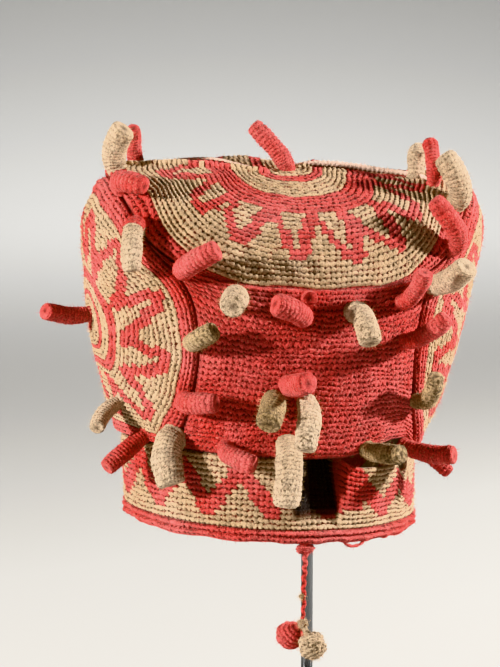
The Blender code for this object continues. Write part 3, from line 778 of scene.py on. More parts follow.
@dataclass
class WrapPanel:
    """The front or back panel, worked in level rows between the discs and the waist."""

    form: CapForm
    turn: float
    rows: int = 32
    columns: int = 216
    stitch: float = 0.0033
    per_row: int = 4
    relief: float = 0.0010
    # how far the lower edge is lifted off the band: azimuth and degrees of elevation
    hem: tuple = ((0.0, 0.0),)

    def corners(self, u: Array, v: Array) -> Array:
        """Directions between four edges: each pair of edges is mixed, less the corners' mix."""
        form = self.form
        crest_azimuth, _ = form.crest()
        angle = form.corner_angle() + (form.crest_angle - form.corner_angle()) * v
        right = np.stack(angles(side_direction(1, angle, form.side_reach(angle))), -1)
        left = right * (-1, 1)
        azimuth = crest_azimuth * (2 * u - 1)
        top = np.stack([azimuth, form.crown_edge(azimuth * 0.99999)], -1)
        low_right = np.array([form.waist_corner, form.waist_elevation])
        low_left = low_right * (-1, 1)
        high_right = np.array(form.crest())
        high_left = high_right * (-1, 1)
        u, v = u[..., None], v[..., None]
        bottom = low_left + (low_right - low_left) * u
        bottom[..., 1] += np.interp(bottom[..., 0], *np.array(self.hem, dtype=float).T)
        grid = (1 - v) * bottom + v * top + (1 - u) * left + u * right
        grid -= (1 - v) * ((1 - u) * low_left + u * low_right)
        grid -= v * ((1 - u) * high_left + u * high_right)
        return direction(grid[..., 0] + self.turn, grid[..., 1])

    def levels(self, u: Array, row: Array) -> Array:
        """Share of the height at which each row lies.

        The rows are at equal steps along the panel's middle, and everywhere at the height that
        they have there, plus the cube of their share of the way up times how much higher the
        top edge is than at the middle.
        """
        guide = np.linspace(0, 1, 41)
        sample = np.linspace(0, 1, 81)[:, None]
        points = self.form.surface(self.corners(guide + 0 * sample, sample + 0 * guide))
        middle = points[:, len(guide) // 2]
        length = travelled(middle)
        even = np.linspace(0, 1, self.rows + 1)
        height = np.interp(even, length / length[-1], middle[:, 2])[:, None]
        top = points[-1, :, 2] - middle[-1, 2]
        foot = points[0, :, 2] - middle[0, 2]
        wanted = height + top * even[:, None] ** 3 + foot * (1 - even[:, None]) ** 3
        table = at_levels(wanted, points[..., 2], sample + 0 * guide)
        table[0], table[-1] = 0.0, 1.0
        return mixed(table, row, np.clip(u, 0, 1) * (len(guide) - 1))

    def build(self, name: str, material: Material, seed: int) -> Piece:
        """Make the panel: a closed wall with level rows of red stitches on its outer face."""
        lines = np.arange(self.rows * self.per_row + 1) / self.per_row
        share = np.arange(self.columns + 1) / self.columns
        row, fraction = mesh_grid(lines, share)
        aimed = self.corners(fraction, self.levels(fraction, row))
        base = self.form.surface(aimed)
        width = np.linalg.norm(np.diff(base[:: self.per_row], axis=1), axis=-1).sum(1)
        counts = np.round((width[1:] + width[:-1]) / 2 / self.stitch).astype(int)
        plan = StitchPlan(counts, all_red, seed, PLAIN_WEAVE)
        inside = np.clip(np.minimum(row, self.rows - row) / 3, 0, 1)
        sway = (0.3 * wander(base, 0.04, seed) + 0.22 * wander(base, 0.009, seed + 3)) * inside
        aimed = self.corners(fraction, self.levels(fraction, row + sway))
        base = self.form.surface(aimed)
        normal = self.form.normals(aimed)
        base[0, :, 2] = np.maximum(base[0, :, 2], self.form.band_height)
        work = plan.weave(row, fraction)
        rise = self.relief * (work.pop("height") - 0.65)
        from_side = np.minimum(fraction, 1 - fraction) * width.mean()
        side_groove = bump(from_side, 0.0018) * np.clip(1.15 - row / self.rows, 0, 1)
        foot_groove = bump(row, 0.7)
        rise -= 0.0020 * side_groove + 0.0012 * foot_groove
        # painted shade in the grooves along the sides and at the foot
        work["deep"] = np.clip(0.9 * side_groove + 0.7 * foot_groove, 0, 1)
        rise += 0.0005 * wander(base, 0.024, seed + 1)
        draft = Draft()
        number = draft.add(self.form.place(base + rise[..., None] * normal), **work)
        draft.fill(number, *plan.coordinates(lines, share))
        down = np.arange(self.rows, -1, -1.0)
        row, fraction = mesh_grid(down, np.linspace(0, 1, self.columns // 4 + 1))
        aimed = self.corners(fraction, self.levels(fraction, row))
        base = self.form.surface(aimed)
        base[-1, :, 2] = np.maximum(base[-1, :, 2], self.form.band_height)
        inner = base - self.form.wall * self.form.normals(aimed)
        # the inner face is painted with shade
        under = draft.add(self.form.place(inner), red=1.0, tone=0.5, deep=0.6)
        draft.fill(under)
        draft.zip(number[-1], under[0])
        draft.zip(under[-1], number[0])
        draft.zip(number[:, 0], under[::-1, 0])
        draft.zip(number[::-1, -1], under[:, -1])
        return draft.piece(name, material)


@dataclass
class BandPiece:
    """The head band, a tube of level rounds with a zigzag, and the edging rows under it."""

    form: CapForm
    stitches: int = 172
    rows: int = 13
    per_row: int = 5
    per_stitch: int = 4
    relief: float = 0.0012
    gap: float = 0.0003
    # the inward fold at the front: azimuths where it starts, is deep, ends being deep and ends,
    # and its depth as a share of the wall
    pleat: tuple[float, float, float, float, float] = (-4.0, 3.0, 13.0, 14.8, -5.6)
    droop: float = 0.009
    # the free upper edge at the front right: azimuth and share of the droop
    edge_droop: tuple = (
        (14, 0.0), (15, 0.35), (22, 0.7), (34, 0.8), (43, 0.7), (47, 1.5), (50, 1.45),
        (53, 0.4), (58, 0.0),
    )
    # corners of the red zigzag: azimuth in degrees, and row
    zigzag: tuple = ()

    def azimuth(self, fraction: Array) -> Array:
        """Azimuth of a share of the way round; a share of zero is at the back."""
        return 360.0 * fraction - 180.0

    def top(self, azimuth: Array) -> Array:
        """Height of the band's upper edge."""
        knots, shares = np.array(self.edge_droop, dtype=float).T
        return self.form.band_height - self.droop * np.interp(azimuth, knots, shares)

    def radius(self, azimuth: Array, share: Array) -> Array:
        """Outer radius: from the rim's to the crown's at the waist, with the inward fold."""
        form = self.form
        waist = form.surface(direction(azimuth, np.full_like(azimuth, form.waist_elevation)))
        top = np.hypot(waist[..., 0], waist[..., 1])
        *ends, depth = self.pleat
        inside = np.interp(azimuth, ends, (0.0, 1.0, 1.0, 0.0))
        inside = inside * inside * (3 - 2 * inside)
        fold = depth * form.wall * inside * np.clip(1.2 * share - 0.15, 0, 1)
        return form.rim_radius + (top - form.rim_radius) * share + fold

    def wall(self, fraction: Array, height: Array, inward: Array) -> Array:
        """Places in the wall, at a share of the way round, a height and a depth inwards."""
        azimuth = self.azimuth(fraction)
        radius = self.radius(azimuth, height / self.form.band_height) - inward
        turn = np.radians(azimuth)
        return np.stack([radius * np.sin(turn), -radius * np.cos(turn), height], -1)

    def pattern(self, fraction: Array, row: Array) -> Array:
        """Whether a stitch is red: near the zigzag's line, in stitches from side to side."""
        corners = np.array(self.zigzag, dtype=float)
        spot = np.stack([self.azimuth(fraction) * self.stitches / 360.0, row], -1)
        corners[:, 0] *= self.stitches / 360.0
        red = np.zeros(row.shape, dtype=bool)
        for start, end in zip(corners[:-1], corners[1:]):
            step = end - start
            t = np.clip(((spot - start) @ step) / (step @ step), 0.0, 1.0)
            red |= np.linalg.norm(spot - start - t[..., None] * step, axis=-1) < 1.6
        azimuth = self.azimuth(fraction)
        return red | ((azimuth > 13.0) & (azimuth < 24.0) & (row > 3.8))

    def build(self, material: Material, seed: int) -> Piece:
        """Make the band: a closed tube of wall, with the stitches on its outer face."""
        form = self.form
        columns = self.stitches * self.per_stitch
        lines = np.arange(self.rows * self.per_row + 1) / self.per_row
        share = np.arange(columns) / columns
        row, fraction = mesh_grid(lines, share)
        low = form.edging_height + self.gap
        top = self.top(self.azimuth(fraction))
        height = low + (top - low) * row / self.rows
        plan = StitchPlan(np.full(self.rows, self.stitches), self.pattern, seed, DISC_WEAVE, 0.5)
        work = plan.weave(row, fraction)
        still = np.clip(np.minimum(row, self.rows - row), 0, 1)
        base = self.wall(fraction, height, 0.0)
        height = height + 0.0007 * wander(base, 0.05, seed) * still
        rise = self.relief * (work.pop("height") - 0.65) + 0.0005 * wander(base, 0.03, seed + 1)
        rise -= 0.0008 * bump(self.rows - row, 0.5)
        # painted shade in the pocket of the inward fold; on its shelf it goes over 1 and darkens
        # towards black
        within = np.interp(self.azimuth(fraction), self.pleat[:4], (0.0, 1.0, 1.0, 0.0))
        shelf = np.interp(self.azimuth(fraction), (-7.0, -4.5, 13.0, 13.8), (0.0, 1.0, 1.0, 0.0))
        work["deep"] = np.maximum(0.85 * within, 2.0 * shelf) * np.clip((row - 1.6) / 2.2, 0, 1)
        draft = Draft()
        number = draft.add(form.place(self.wall(fraction, height, -rise)), closed=True, **work)
        draft.fill(number, *plan.coordinates(lines, np.append(share, 1.0)))
        row, fraction = mesh_grid(np.arange(self.rows, -1, -1.0), share[:: self.per_stitch])
        height = low + (self.top(self.azimuth(fraction)) - low) * row / self.rows
        k = np.clip(row.astype(int), 0, self.rows - 1)
        j = np.clip((fraction * self.stitches).astype(int), 0, self.stitches - 1)
        inner = self.wall(fraction, height, form.wall)
        red = plan.colour[k, j]
        # the inner wall is painted with shade
        under = draft.add(form.place(inner), closed=True, red=red, tone=0.5, deep=0.85)
        draft.fill(under)
        draft.zip(number[-1], under[0])
        draft.zip(under[-1], number[0])
        return draft.piece("cap_head_band", material)

    def build_edging(self, material: Material, seed: int) -> Piece:
        """Make the edging: two rope-like red rounds, with a rounded lower edge.

        The section is an upright wall whose outer side swells once for each row, carried
        round the rim; a slow wave lifts and drops its lower edge.
        """
        form = self.form
        columns = self.stitches * self.per_stitch
        share = np.arange(columns) / columns
        rows = np.linspace(0, 2, 13)
        swell = np.abs(np.sin(math.pi * rows)) ** 0.7
        wall, high = form.wall, form.edging_height
        outer = np.stack([0.0014 * swell - 0.0004, high * rows / 2], -1)
        inner = np.linspace((-wall - 0.0005, high), (-wall - 0.0008, 0.0004), 5)
        foot = [(-wall + 0.0004, -0.0006), (-wall / 2, -0.0010), (-0.0008, -0.0006)]
        section = np.concatenate([outer, inner, foot])
        turn = np.radians(self.azimuth(share))
        plan = StitchPlan(np.full(2, self.stitches), all_red, seed, PLAIN_WEAVE)
        row, fraction = mesh_grid(rows, share)
        work = plan.weave(row, fraction)
        radius = form.rim_radius + 0.0002 + section[:, :1] + 0 * share
        height = section[:, 1:] + 0 * share
        radius[: len(rows)] += 0.0013 * (work["height"] - 0.6)
        around = np.stack([np.sin(turn), -np.cos(turn)], -1)
        level = np.concatenate([around * 0.09, 0 * around[:, :1]], -1)
        wave = 0.0007 * wander(level, 0.03, seed) + 0.0005 * wander(level, 0.011, seed + 1)
        height += wave * np.clip(1 - section[:, 1:] / form.edging_height, 0, 1)
        radius += 0.0006 * wander(level, 0.016, seed + 2)
        ring = np.concatenate([around[None] * radius[..., None], height[..., None]], -1)
        rest = len(section) - len(rows)
        tone = np.pad(work["tone"], [(0, rest), (0, 0)], mode="edge")
        draft = Draft()
        number = draft.add(form.place(ring), closed=True, red=1.0, tone=tone)
        draft.fill(number[: len(rows)], *plan.coordinates(rows, np.append(share, 1.0)))
        draft.fill(number[len(rows) - 1 :])
        draft.zip(number[-1], number[0])
        self.add_loop(draft)
        return draft.piece("cap_rim_edging", material)

    def add_loop(self, draft: Draft) -> None:
        """Add a loose loop of yarn under the front of the rim.

        Its line is half an oval between two points of the rim's underside, and its radius
        swells and shrinks twice along each strand's turn.
        """
        count, sides, radius = 60, 10, 0.0009
        t = np.linspace(0, math.pi, count)
        azimuth = np.radians(21.0 - 4.6 * np.cos(t))
        reach = self.form.rim_radius - 0.0015
        height = -0.0034 * np.sin(t) - 0.0003
        line = np.stack([reach * np.sin(azimuth), -reach * np.cos(azimuth), height], -1)
        turn = turns(sides)
        twist = 1 + 0.18 * np.cos(2 * turn + 9 * t[:, None])
        spoke = spokes(unit(np.gradient(line, axis=0)), (0.0, 0.0, 1.0), turn)
        points = line[:, None] + radius * twist[..., None] * spoke
        number = draft.add(self.form.place(points), closed=True, red=1.0, tone=0.6)
        draft.fill(number)
        draft.tips(number, self.form.place(line[[0, -1]]), red=1.0)


@dataclass
class Burl:
    """A stuffed crocheted tube that stands on the cap and bends towards its tip."""

    name: str
    azimuth: float
    elevation: float
    lift: float
    turn: float
    length_share: float
    radius_share: float
    yarn: Yarn
    soil: float = 0.0
    # share of the length that is red at the foot's one side
    red_foot: float = 0.0
    # share of the length, straight out of the cap, at which the bend's guide point lies
    bend_share: float = 0.45
    length: float = 0.036
    radius: float = 0.006
    row: float = 0.0022
    stitch: float = 0.0026
    relief: float = 0.0006
    sunk: float = 0.0009
    # share along the tube, share of its radius
    outline: tuple = (
        (0.0, 0.90), (0.08, 0.88), (0.20, 0.95), (0.47, 1.0), (0.74, 1.0), (0.86, 0.98),
        (0.93, 0.92), (0.975, 0.74), (1.0, 0.0),
    )

    def axis(self, form: CapForm) -> tuple[Array, Array, Array, Array]:
        """Start, bend and tip of the tube's quadratic Bezier axis, and a vector across it."""
        base = direction(self.azimuth, self.elevation)
        outward = form.normals(base)
        upward = unit(np.array((0.0, 0.0, 1.0)) - outward * outward[2])
        if abs(outward[2]) > 0.97:
            upward = unit(np.array((0.0, 1.0, 0.0)) - outward * outward[1])
        rightward = np.cross(upward, outward)
        lift, turn = math.radians(self.lift), math.radians(self.turn)
        aim = outward * math.cos(lift) * math.cos(turn) + upward * math.sin(lift)
        aim = aim + rightward * math.cos(lift) * math.sin(turn)
        reach = self.length_share * self.length
        start = form.surface(base)
        bend = start + self.bend_share * reach * outward
        return start, bend, start + reach * aim, unit(np.cross(outward, aim))

    def build(self, form: CapForm, material: Material, seed: int) -> Piece:
        """Make the tube: rings along a Bezier axis, whose radius follows the outline.

        Each ring's radius is the outline's at its share of the way, plus the stitches' height
        and a slow unevenness; the first ring lies in the cap's surface.
        """
        start, bend, tip, across = self.axis(form)
        radius = self.radius_share * self.radius
        long = self.length_share * self.length
        rows = max(5, round(long / self.row))
        around = max(8, round(2 * math.pi * radius / self.stitch))
        columns = around * 3
        plan = StitchPlan(np.full(rows, around), all_red, seed, BURL_WEAVE)
        lines = np.arange(1, rows * 4) / 4
        share = np.arange(columns) / columns
        row, fraction = mesh_grid(lines, share)
        t = lines / rows
        centre = ((1 - t) ** 2)[:, None] * start + (2 * t * (1 - t))[:, None] * bend
        centre = centre + (t**2)[:, None] * tip
        along = unit((1 - t)[:, None] * (bend - start) + t[:, None] * (tip - bend))
        ring = 2 * math.pi * (fraction + row * 0.15 / around)
        spoke = np.cos(ring)[..., None] * np.cross(across, along)[:, None]
        spoke = spoke + np.sin(ring)[..., None] * across
        knots, shares = np.array(self.outline).T
        size = radius * np.interp(t, knots, shares)[:, None] + 0 * row
        work = plan.weave(row, fraction)
        flat = np.clip((1 - t) * 8, 0, 1)[:, None]
        size += self.relief * (work.pop("height") - 0.6) * flat
        points = centre[:, None] + spoke * size[..., None]
        size += 0.0006 * wander(points, 0.018, seed) * flat
        points = centre[:, None] + spoke * size[..., None]
        points -= along[:, None] * (0.0022 * bump(1 - t, 0.05))[:, None, None]
        near = unit(points[:3] - np.array((0.0, 0.0, form.heart)))
        level = form.surface(near) - self.sunk * form.normals(near)
        blend = np.array((1.0, 0.55, 0.2))[:, None, None]
        points[:3] = points[:3] * (1 - blend) + level * blend
        tipward = np.clip((t - 0.55) / 0.45, 0, 1)[:, None]
        grime = self.soil * np.clip(0.35 + tipward + 0.35 * wander(points, 0.012, seed + 5), 0, 1)
        red = float(self.yarn is RED)
        patch = np.where((t[:, None] < self.red_foot) & (np.cos(ring) < 0.3), 1.0, red)
        draft = Draft()
        # painted shade round the foot, where the tube meets the cap
        number = draft.add(
            form.place(points), closed=True, tone=work["tone"], red=patch,
            deep=0.6 * bump(t, 0.03)[:, None] + 0 * row, soil=grime * np.ones_like(row),
        )
        draft.fill(number, *plan.coordinates(lines, np.append(share, 1.0)))
        ends = np.stack([start - self.sunk * 2 * unit(bend - start), tip - along[-1] * 0.0030])
        # painted shade at the tip's hollow middle
        draft.tips(number, form.place(ends), red=red, deep=(0.0, 0.8), soil=(0.0, self.soil))
        return draft.piece("cap_" + self.name, material)


@dataclass
class Pendant:
    """The gathered tie on the rim, the short cord, its knot, and the two balls."""

    route: tuple = (
        (-0.0236, -0.0825, 0.1270), (-0.0240, -0.0829, 0.1180), (-0.0246, -0.0826, 0.1080),
        (-0.0243, -0.0822, 0.0980), (-0.0252, -0.0824, 0.0875),
    )
    diameter: float = 0.0036
    twist: float = 0.0062
    tie: tuple[float, float, float] = (0.011, 0.005, 0.006)
    knot_radius: float = 0.0026
    gap: float = 0.0003
    ball_radius: float = 0.0081
    neck_radius: float = 0.0014
    red_ball: tuple[float, float, float] = (-0.0056, 0.0070, -0.0086)
    pale_ball: tuple[float, float, float] = (0.0044, -0.0062, -0.0124)

    def line(self, count: int) -> Array:
        """Points of the cord's route, on a smooth curve through its chosen points."""
        knots = np.arange(len(self.route), dtype=float)
        at = np.linspace(0, knots[-1], count)
        return np.stack([through(knots, values, at) for values in np.array(self.route).T], -1)

    def cord(self, material: Material) -> Piece:
        """Make the cord, a tube along the route whose radius is that of two crossing strands.

        Each strand winds once in the twist's length, one each way; the radius swells by a power
        of the cosine of the angle from the nearest strand, which gives a chain of small Vs.
        """
        count, sides = 120, 28
        line = self.line(count)
        turn, share = turns(sides), np.linspace(0, 1, count)
        wind = 2 * math.pi * share[:, None] * travelled(line)[-1] / self.twist
        strand = np.maximum(*(np.abs(np.cos((turn + way * wind) / 2)) ** 6 for way in (-1, 1)))
        taper = np.interp(share, (0, 0.1, 0.7, 1), (1.12, 1.0, 0.86, 0.80))[:, None]
        radius = self.diameter / 2 * taper * (0.72 + 0.30 * strand)
        ring = spokes(unit(np.gradient(line, axis=0)), (0.0, 1.0, 0.0), turn)
        points = line[:, None] + ring * radius[..., None]
        draft = Draft()
        # painted shade in the grooves between the strands
        number = draft.add(points, closed=True, red=1.0, deep=0.9 * (1 - strand) ** 2, tone=0.5)
        draft.fill(number)
        draft.tips(number, line[[0, -1]], red=1.0)
        return draft.piece("cap_pendant_cord", material)

    def lump(
        self, name: str, centre: Array, size: Array, yarn: Yarn, material: Material, seed: int,
        neck: Array | None = None, soil: float = 0.0,
    ) -> Piece:
        """Make a crocheted ball or a gathered lump.

        The distance from the centre is the ellipsoid's, plus the stitches' height in rounds
        from pole to pole, a slow unevenness, and a narrow cone towards the neck's end.

        Args:
            name: Name of the piece.
            centre: Its middle.
            size: Half its width along X, Y and Z.
            yarn: Its yarn.
            material: The yarn's material.
            seed: Seed of the unevenness.
            neck: Vector from the middle to the neck's end, or None for no neck.
            soil: How soiled the work is, from 0 to 1.

        Returns:
            The piece.
        """
        rows, around = 9, 16
        plan = StitchPlan(np.full(rows, around), all_red, seed, BURL_WEAVE)
        lines = np.arange(1, rows * 5) / 5
        columns = around * 5
        share = np.arange(columns) / columns
        row, fraction = mesh_grid(lines, share)
        work = plan.weave(row, fraction)
        rising = math.pi * row / rows
        turn = 2 * math.pi * fraction
        level = np.sin(rising)
        flat = np.stack([level * np.cos(turn), level * np.sin(turn), -np.cos(rising)], -1)
        pole = unit(np.asarray(neck, float)) if neck is not None else np.array((0.0, 0.0, 1.0))
        rotation = np.array(Vector((0, 0, 1)).rotation_difference(Vector(pole)).to_matrix())
        way = flat @ rotation.T
        distance = 1.0 / np.linalg.norm(way / size, axis=-1)
        distance += 0.0010 * (work.pop("height") - 0.5) * level
        distance += 0.0006 * wander(way * 0.02, 0.02, seed)
        if neck is not None:
            reach = float(np.linalg.norm(neck))
            apart = math.pi - rising
            cone = self.neck_radius * 1.35 / np.maximum(np.sin(apart), 1e-3)
            distance = np.where(apart < 0.5, np.clip(cone, distance, reach), distance)
        points = centre + way * distance[..., None]
        red = float(yarn is RED)
        grime = soil * np.clip(0.3 + 0.9 * wander(points, 0.012, seed + 2), 0, 1)
        draft = Draft()
        number = draft.add(points, closed=True, red=red, soil=grime, tone=work["tone"])
        draft.fill(number, *plan.coordinates(lines, np.append(share, 1.0)))
        end = float(np.linalg.norm(neck)) if neck is not None else float(size[2])
        poles = centre + np.stack([-pole * size[2], pole * end])
        # a little painted shade at the poles
        draft.tips(number, poles, red=red, deep=0.3)
        return draft.piece(name, material)

    def build(self, red: Material, natural: Material) -> list[Piece]:
        top, end = np.array(self.route[0]), np.array(self.route[-1])
        width, depth, height = self.tie
        cord = self.cord(red)
        above = top + (0, 0, self.gap + height / 2)
        half = np.array((width, depth, height)) / 2
        tie = self.lump("cap_pendant_tie", above, half, RED, red, 71)
        middle = end - np.array((0, 0, self.knot_radius + self.gap))
        size = np.full(3, self.knot_radius * 0.95)
        knot = self.lump("cap_pendant_knot", middle, size, NATURAL, natural, 72)
        spot = self.line(60)[40] + (-0.0013, -0.0002, 0.0)
        size = np.array((0.0013, 0.0011, 0.0014))
        tuft = self.lump("cap_pendant_tuft", spot, size, NATURAL, natural, 75)
        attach(tuft, "root")
        balls = []
        for name, offset, yarn, material, seed, soil in (
            ("cap_pendant_ball_red", self.red_ball, RED, red, 73, 0.1),
            ("cap_pendant_ball_pale", self.pale_ball, NATURAL, natural, 74, 0.75),
        ):
            neck = -np.array(offset)
            neck = neck * (1 - (self.knot_radius * 0.8) / np.linalg.norm(neck))
            size = np.full(3, self.ball_radius)
            ball = self.lump(name, middle + offset, size, yarn, material, seed, neck, soil)
            balls.append(ball)
        for piece, node in zip([cord, tie, knot, *balls], (
            "pendant_cord", "pendant_tie", "pendant_knot", "pendant_ball_red", "pendant_ball_pale",
        )):
            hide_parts(node)
            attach(piece, "root")
        line = self.line(60)
        self.line(120).tolist()
        return [cord, tie, knot, *balls, tuft]


class Signal:
    """A node's output, on which plain arithmetic adds Math nodes."""

    def __init__(self, build: "NodeBuilder", socket: bpy.types.NodeSocket) -> None:
        """Keep the builder and the socket."""
        self.build, self.socket = build, socket

    def __add__(self, other: object) -> "Signal":
        """The sum."""
        return self.build.math("ADD", self, other)

    def __sub__(self, other: object) -> "Signal":
        """The difference."""
        return self.build.math("SUBTRACT", self, other)

    def __rsub__(self, other: object) -> "Signal":
        """A number less this value."""
        return self.build.math("SUBTRACT", other, self)

    def __mul__(self, other: object) -> "Signal":
        """The product."""
        return self.build.math("MULTIPLY", self, other)


class NodeBuilder:
    """Short ways to add nodes and links to a shader tree."""

    def __init__(self, tree: bpy.types.NodeTree) -> None:
        """Keep the tree."""
        self.tree = tree

    def feed(self, node: bpy.types.Node, inputs: dict) -> None:
        """Link signals to a node's inputs by name or number, or set the inputs' values."""
        for socket, value in inputs.items():
            if isinstance(value, Signal):
                self.tree.links.new(value.socket, node.inputs[socket])
            else:
                node.inputs[socket].default_value = value

    def node(self, kind: str, inputs: dict, **settings: object) -> bpy.types.Node:
        """Add a node, set its properties and feed its inputs."""
        node = self.tree.nodes.new("ShaderNode" + kind)
        for name, value in settings.items():
            setattr(node, name, value)
        self.feed(node, inputs)
        return node

    def add(self, kind: str, output: str | int, inputs: dict, **settings: object) -> Signal:
        """Add a node and return one of its outputs."""
        return Signal(self, self.node(kind, inputs, **settings).outputs[output])

    def math(self, operation: str, *values: object, clamp: bool = False) -> Signal:
        """Result of a Math node."""
        inputs = dict(enumerate(values))
        return self.add("Math", 0, inputs, operation=operation, use_clamp=clamp)

    def mix(self, factor: object, first: object, second: object, kind: str = "MIX") -> Signal:
        """Result of a colour Mix node."""
        inputs = {0: factor, 6: first, 7: second}
        return self.add("Mix", 2, inputs, data_type="RGBA", blend_type=kind)

    def noise(self, place: Signal, scale: float, detail: float = 2.0) -> Signal:
        """Value of a Noise node."""
        return self.add("TexNoise", "Fac", {"Vector": place, "Scale": scale, "Detail": detail})

    def spread(
        self, value: Signal, low: float, high: float, to_low: float, to_high: float
    ) -> Signal:
        """Value carried from one range to another and kept in it."""
        names = ("Value", "From Min", "From Max", "To Min", "To Max")
        inputs = dict(zip(names, (value, low, high, to_low, to_high)))
        return self.add("MapRange", "Result", inputs, clamp=True)

    def relief(self, height: Signal, distance: float) -> Signal:
        """Normal of a surface with the height on it."""
        return self.add("Bump", "Normal", {"Distance": distance, "Strength": 1.0, "Height": height})

    def stretched(self, place: Signal, scale: Colour) -> Signal:
        """Places stretched along the axes."""
        return self.add("Mapping", "Vector", {"Vector": place, "Scale": scale})


def make_group(name: str, inputs: dict[str, tuple], outputs: dict[str, tuple]) -> tuple:
    """Make an empty shader node group.

    Args:
        name: The group's name.
        inputs: Names of its inputs by the kind of their sockets.
        outputs: Names of its outputs by the kind of their sockets.

    Returns:
        The group, a NodeBuilder for it, its inputs' signals by name, and its output node.
    """
    group = bpy.data.node_groups.new(name, "ShaderNodeTree")
    for way, sockets in (("INPUT", inputs), ("OUTPUT", outputs)):
        for kind, names in sockets.items():
            for socket in names:
                group.interface.new_socket(name=socket, in_out=way, socket_type="NodeSocket" + kind)
    build = NodeBuilder(group)
    source = group.nodes.new("NodeGroupInput")
    given = {socket.name: Signal(build, socket) for socket in source.outputs if socket.name}
    return group, build, given, group.nodes.new("NodeGroupOutput")


def start_material(name: str) -> tuple:
    """Make a material; also give its NodeBuilder, its shader and the place as a signal."""
    material = bpy.data.materials.new(name)
    material.use_nodes = True
    build = NodeBuilder(material.node_tree)
    place = build.add("TexCoord", "Object", {})
    return material, build, material.node_tree.nodes["Principled BSDF"], place


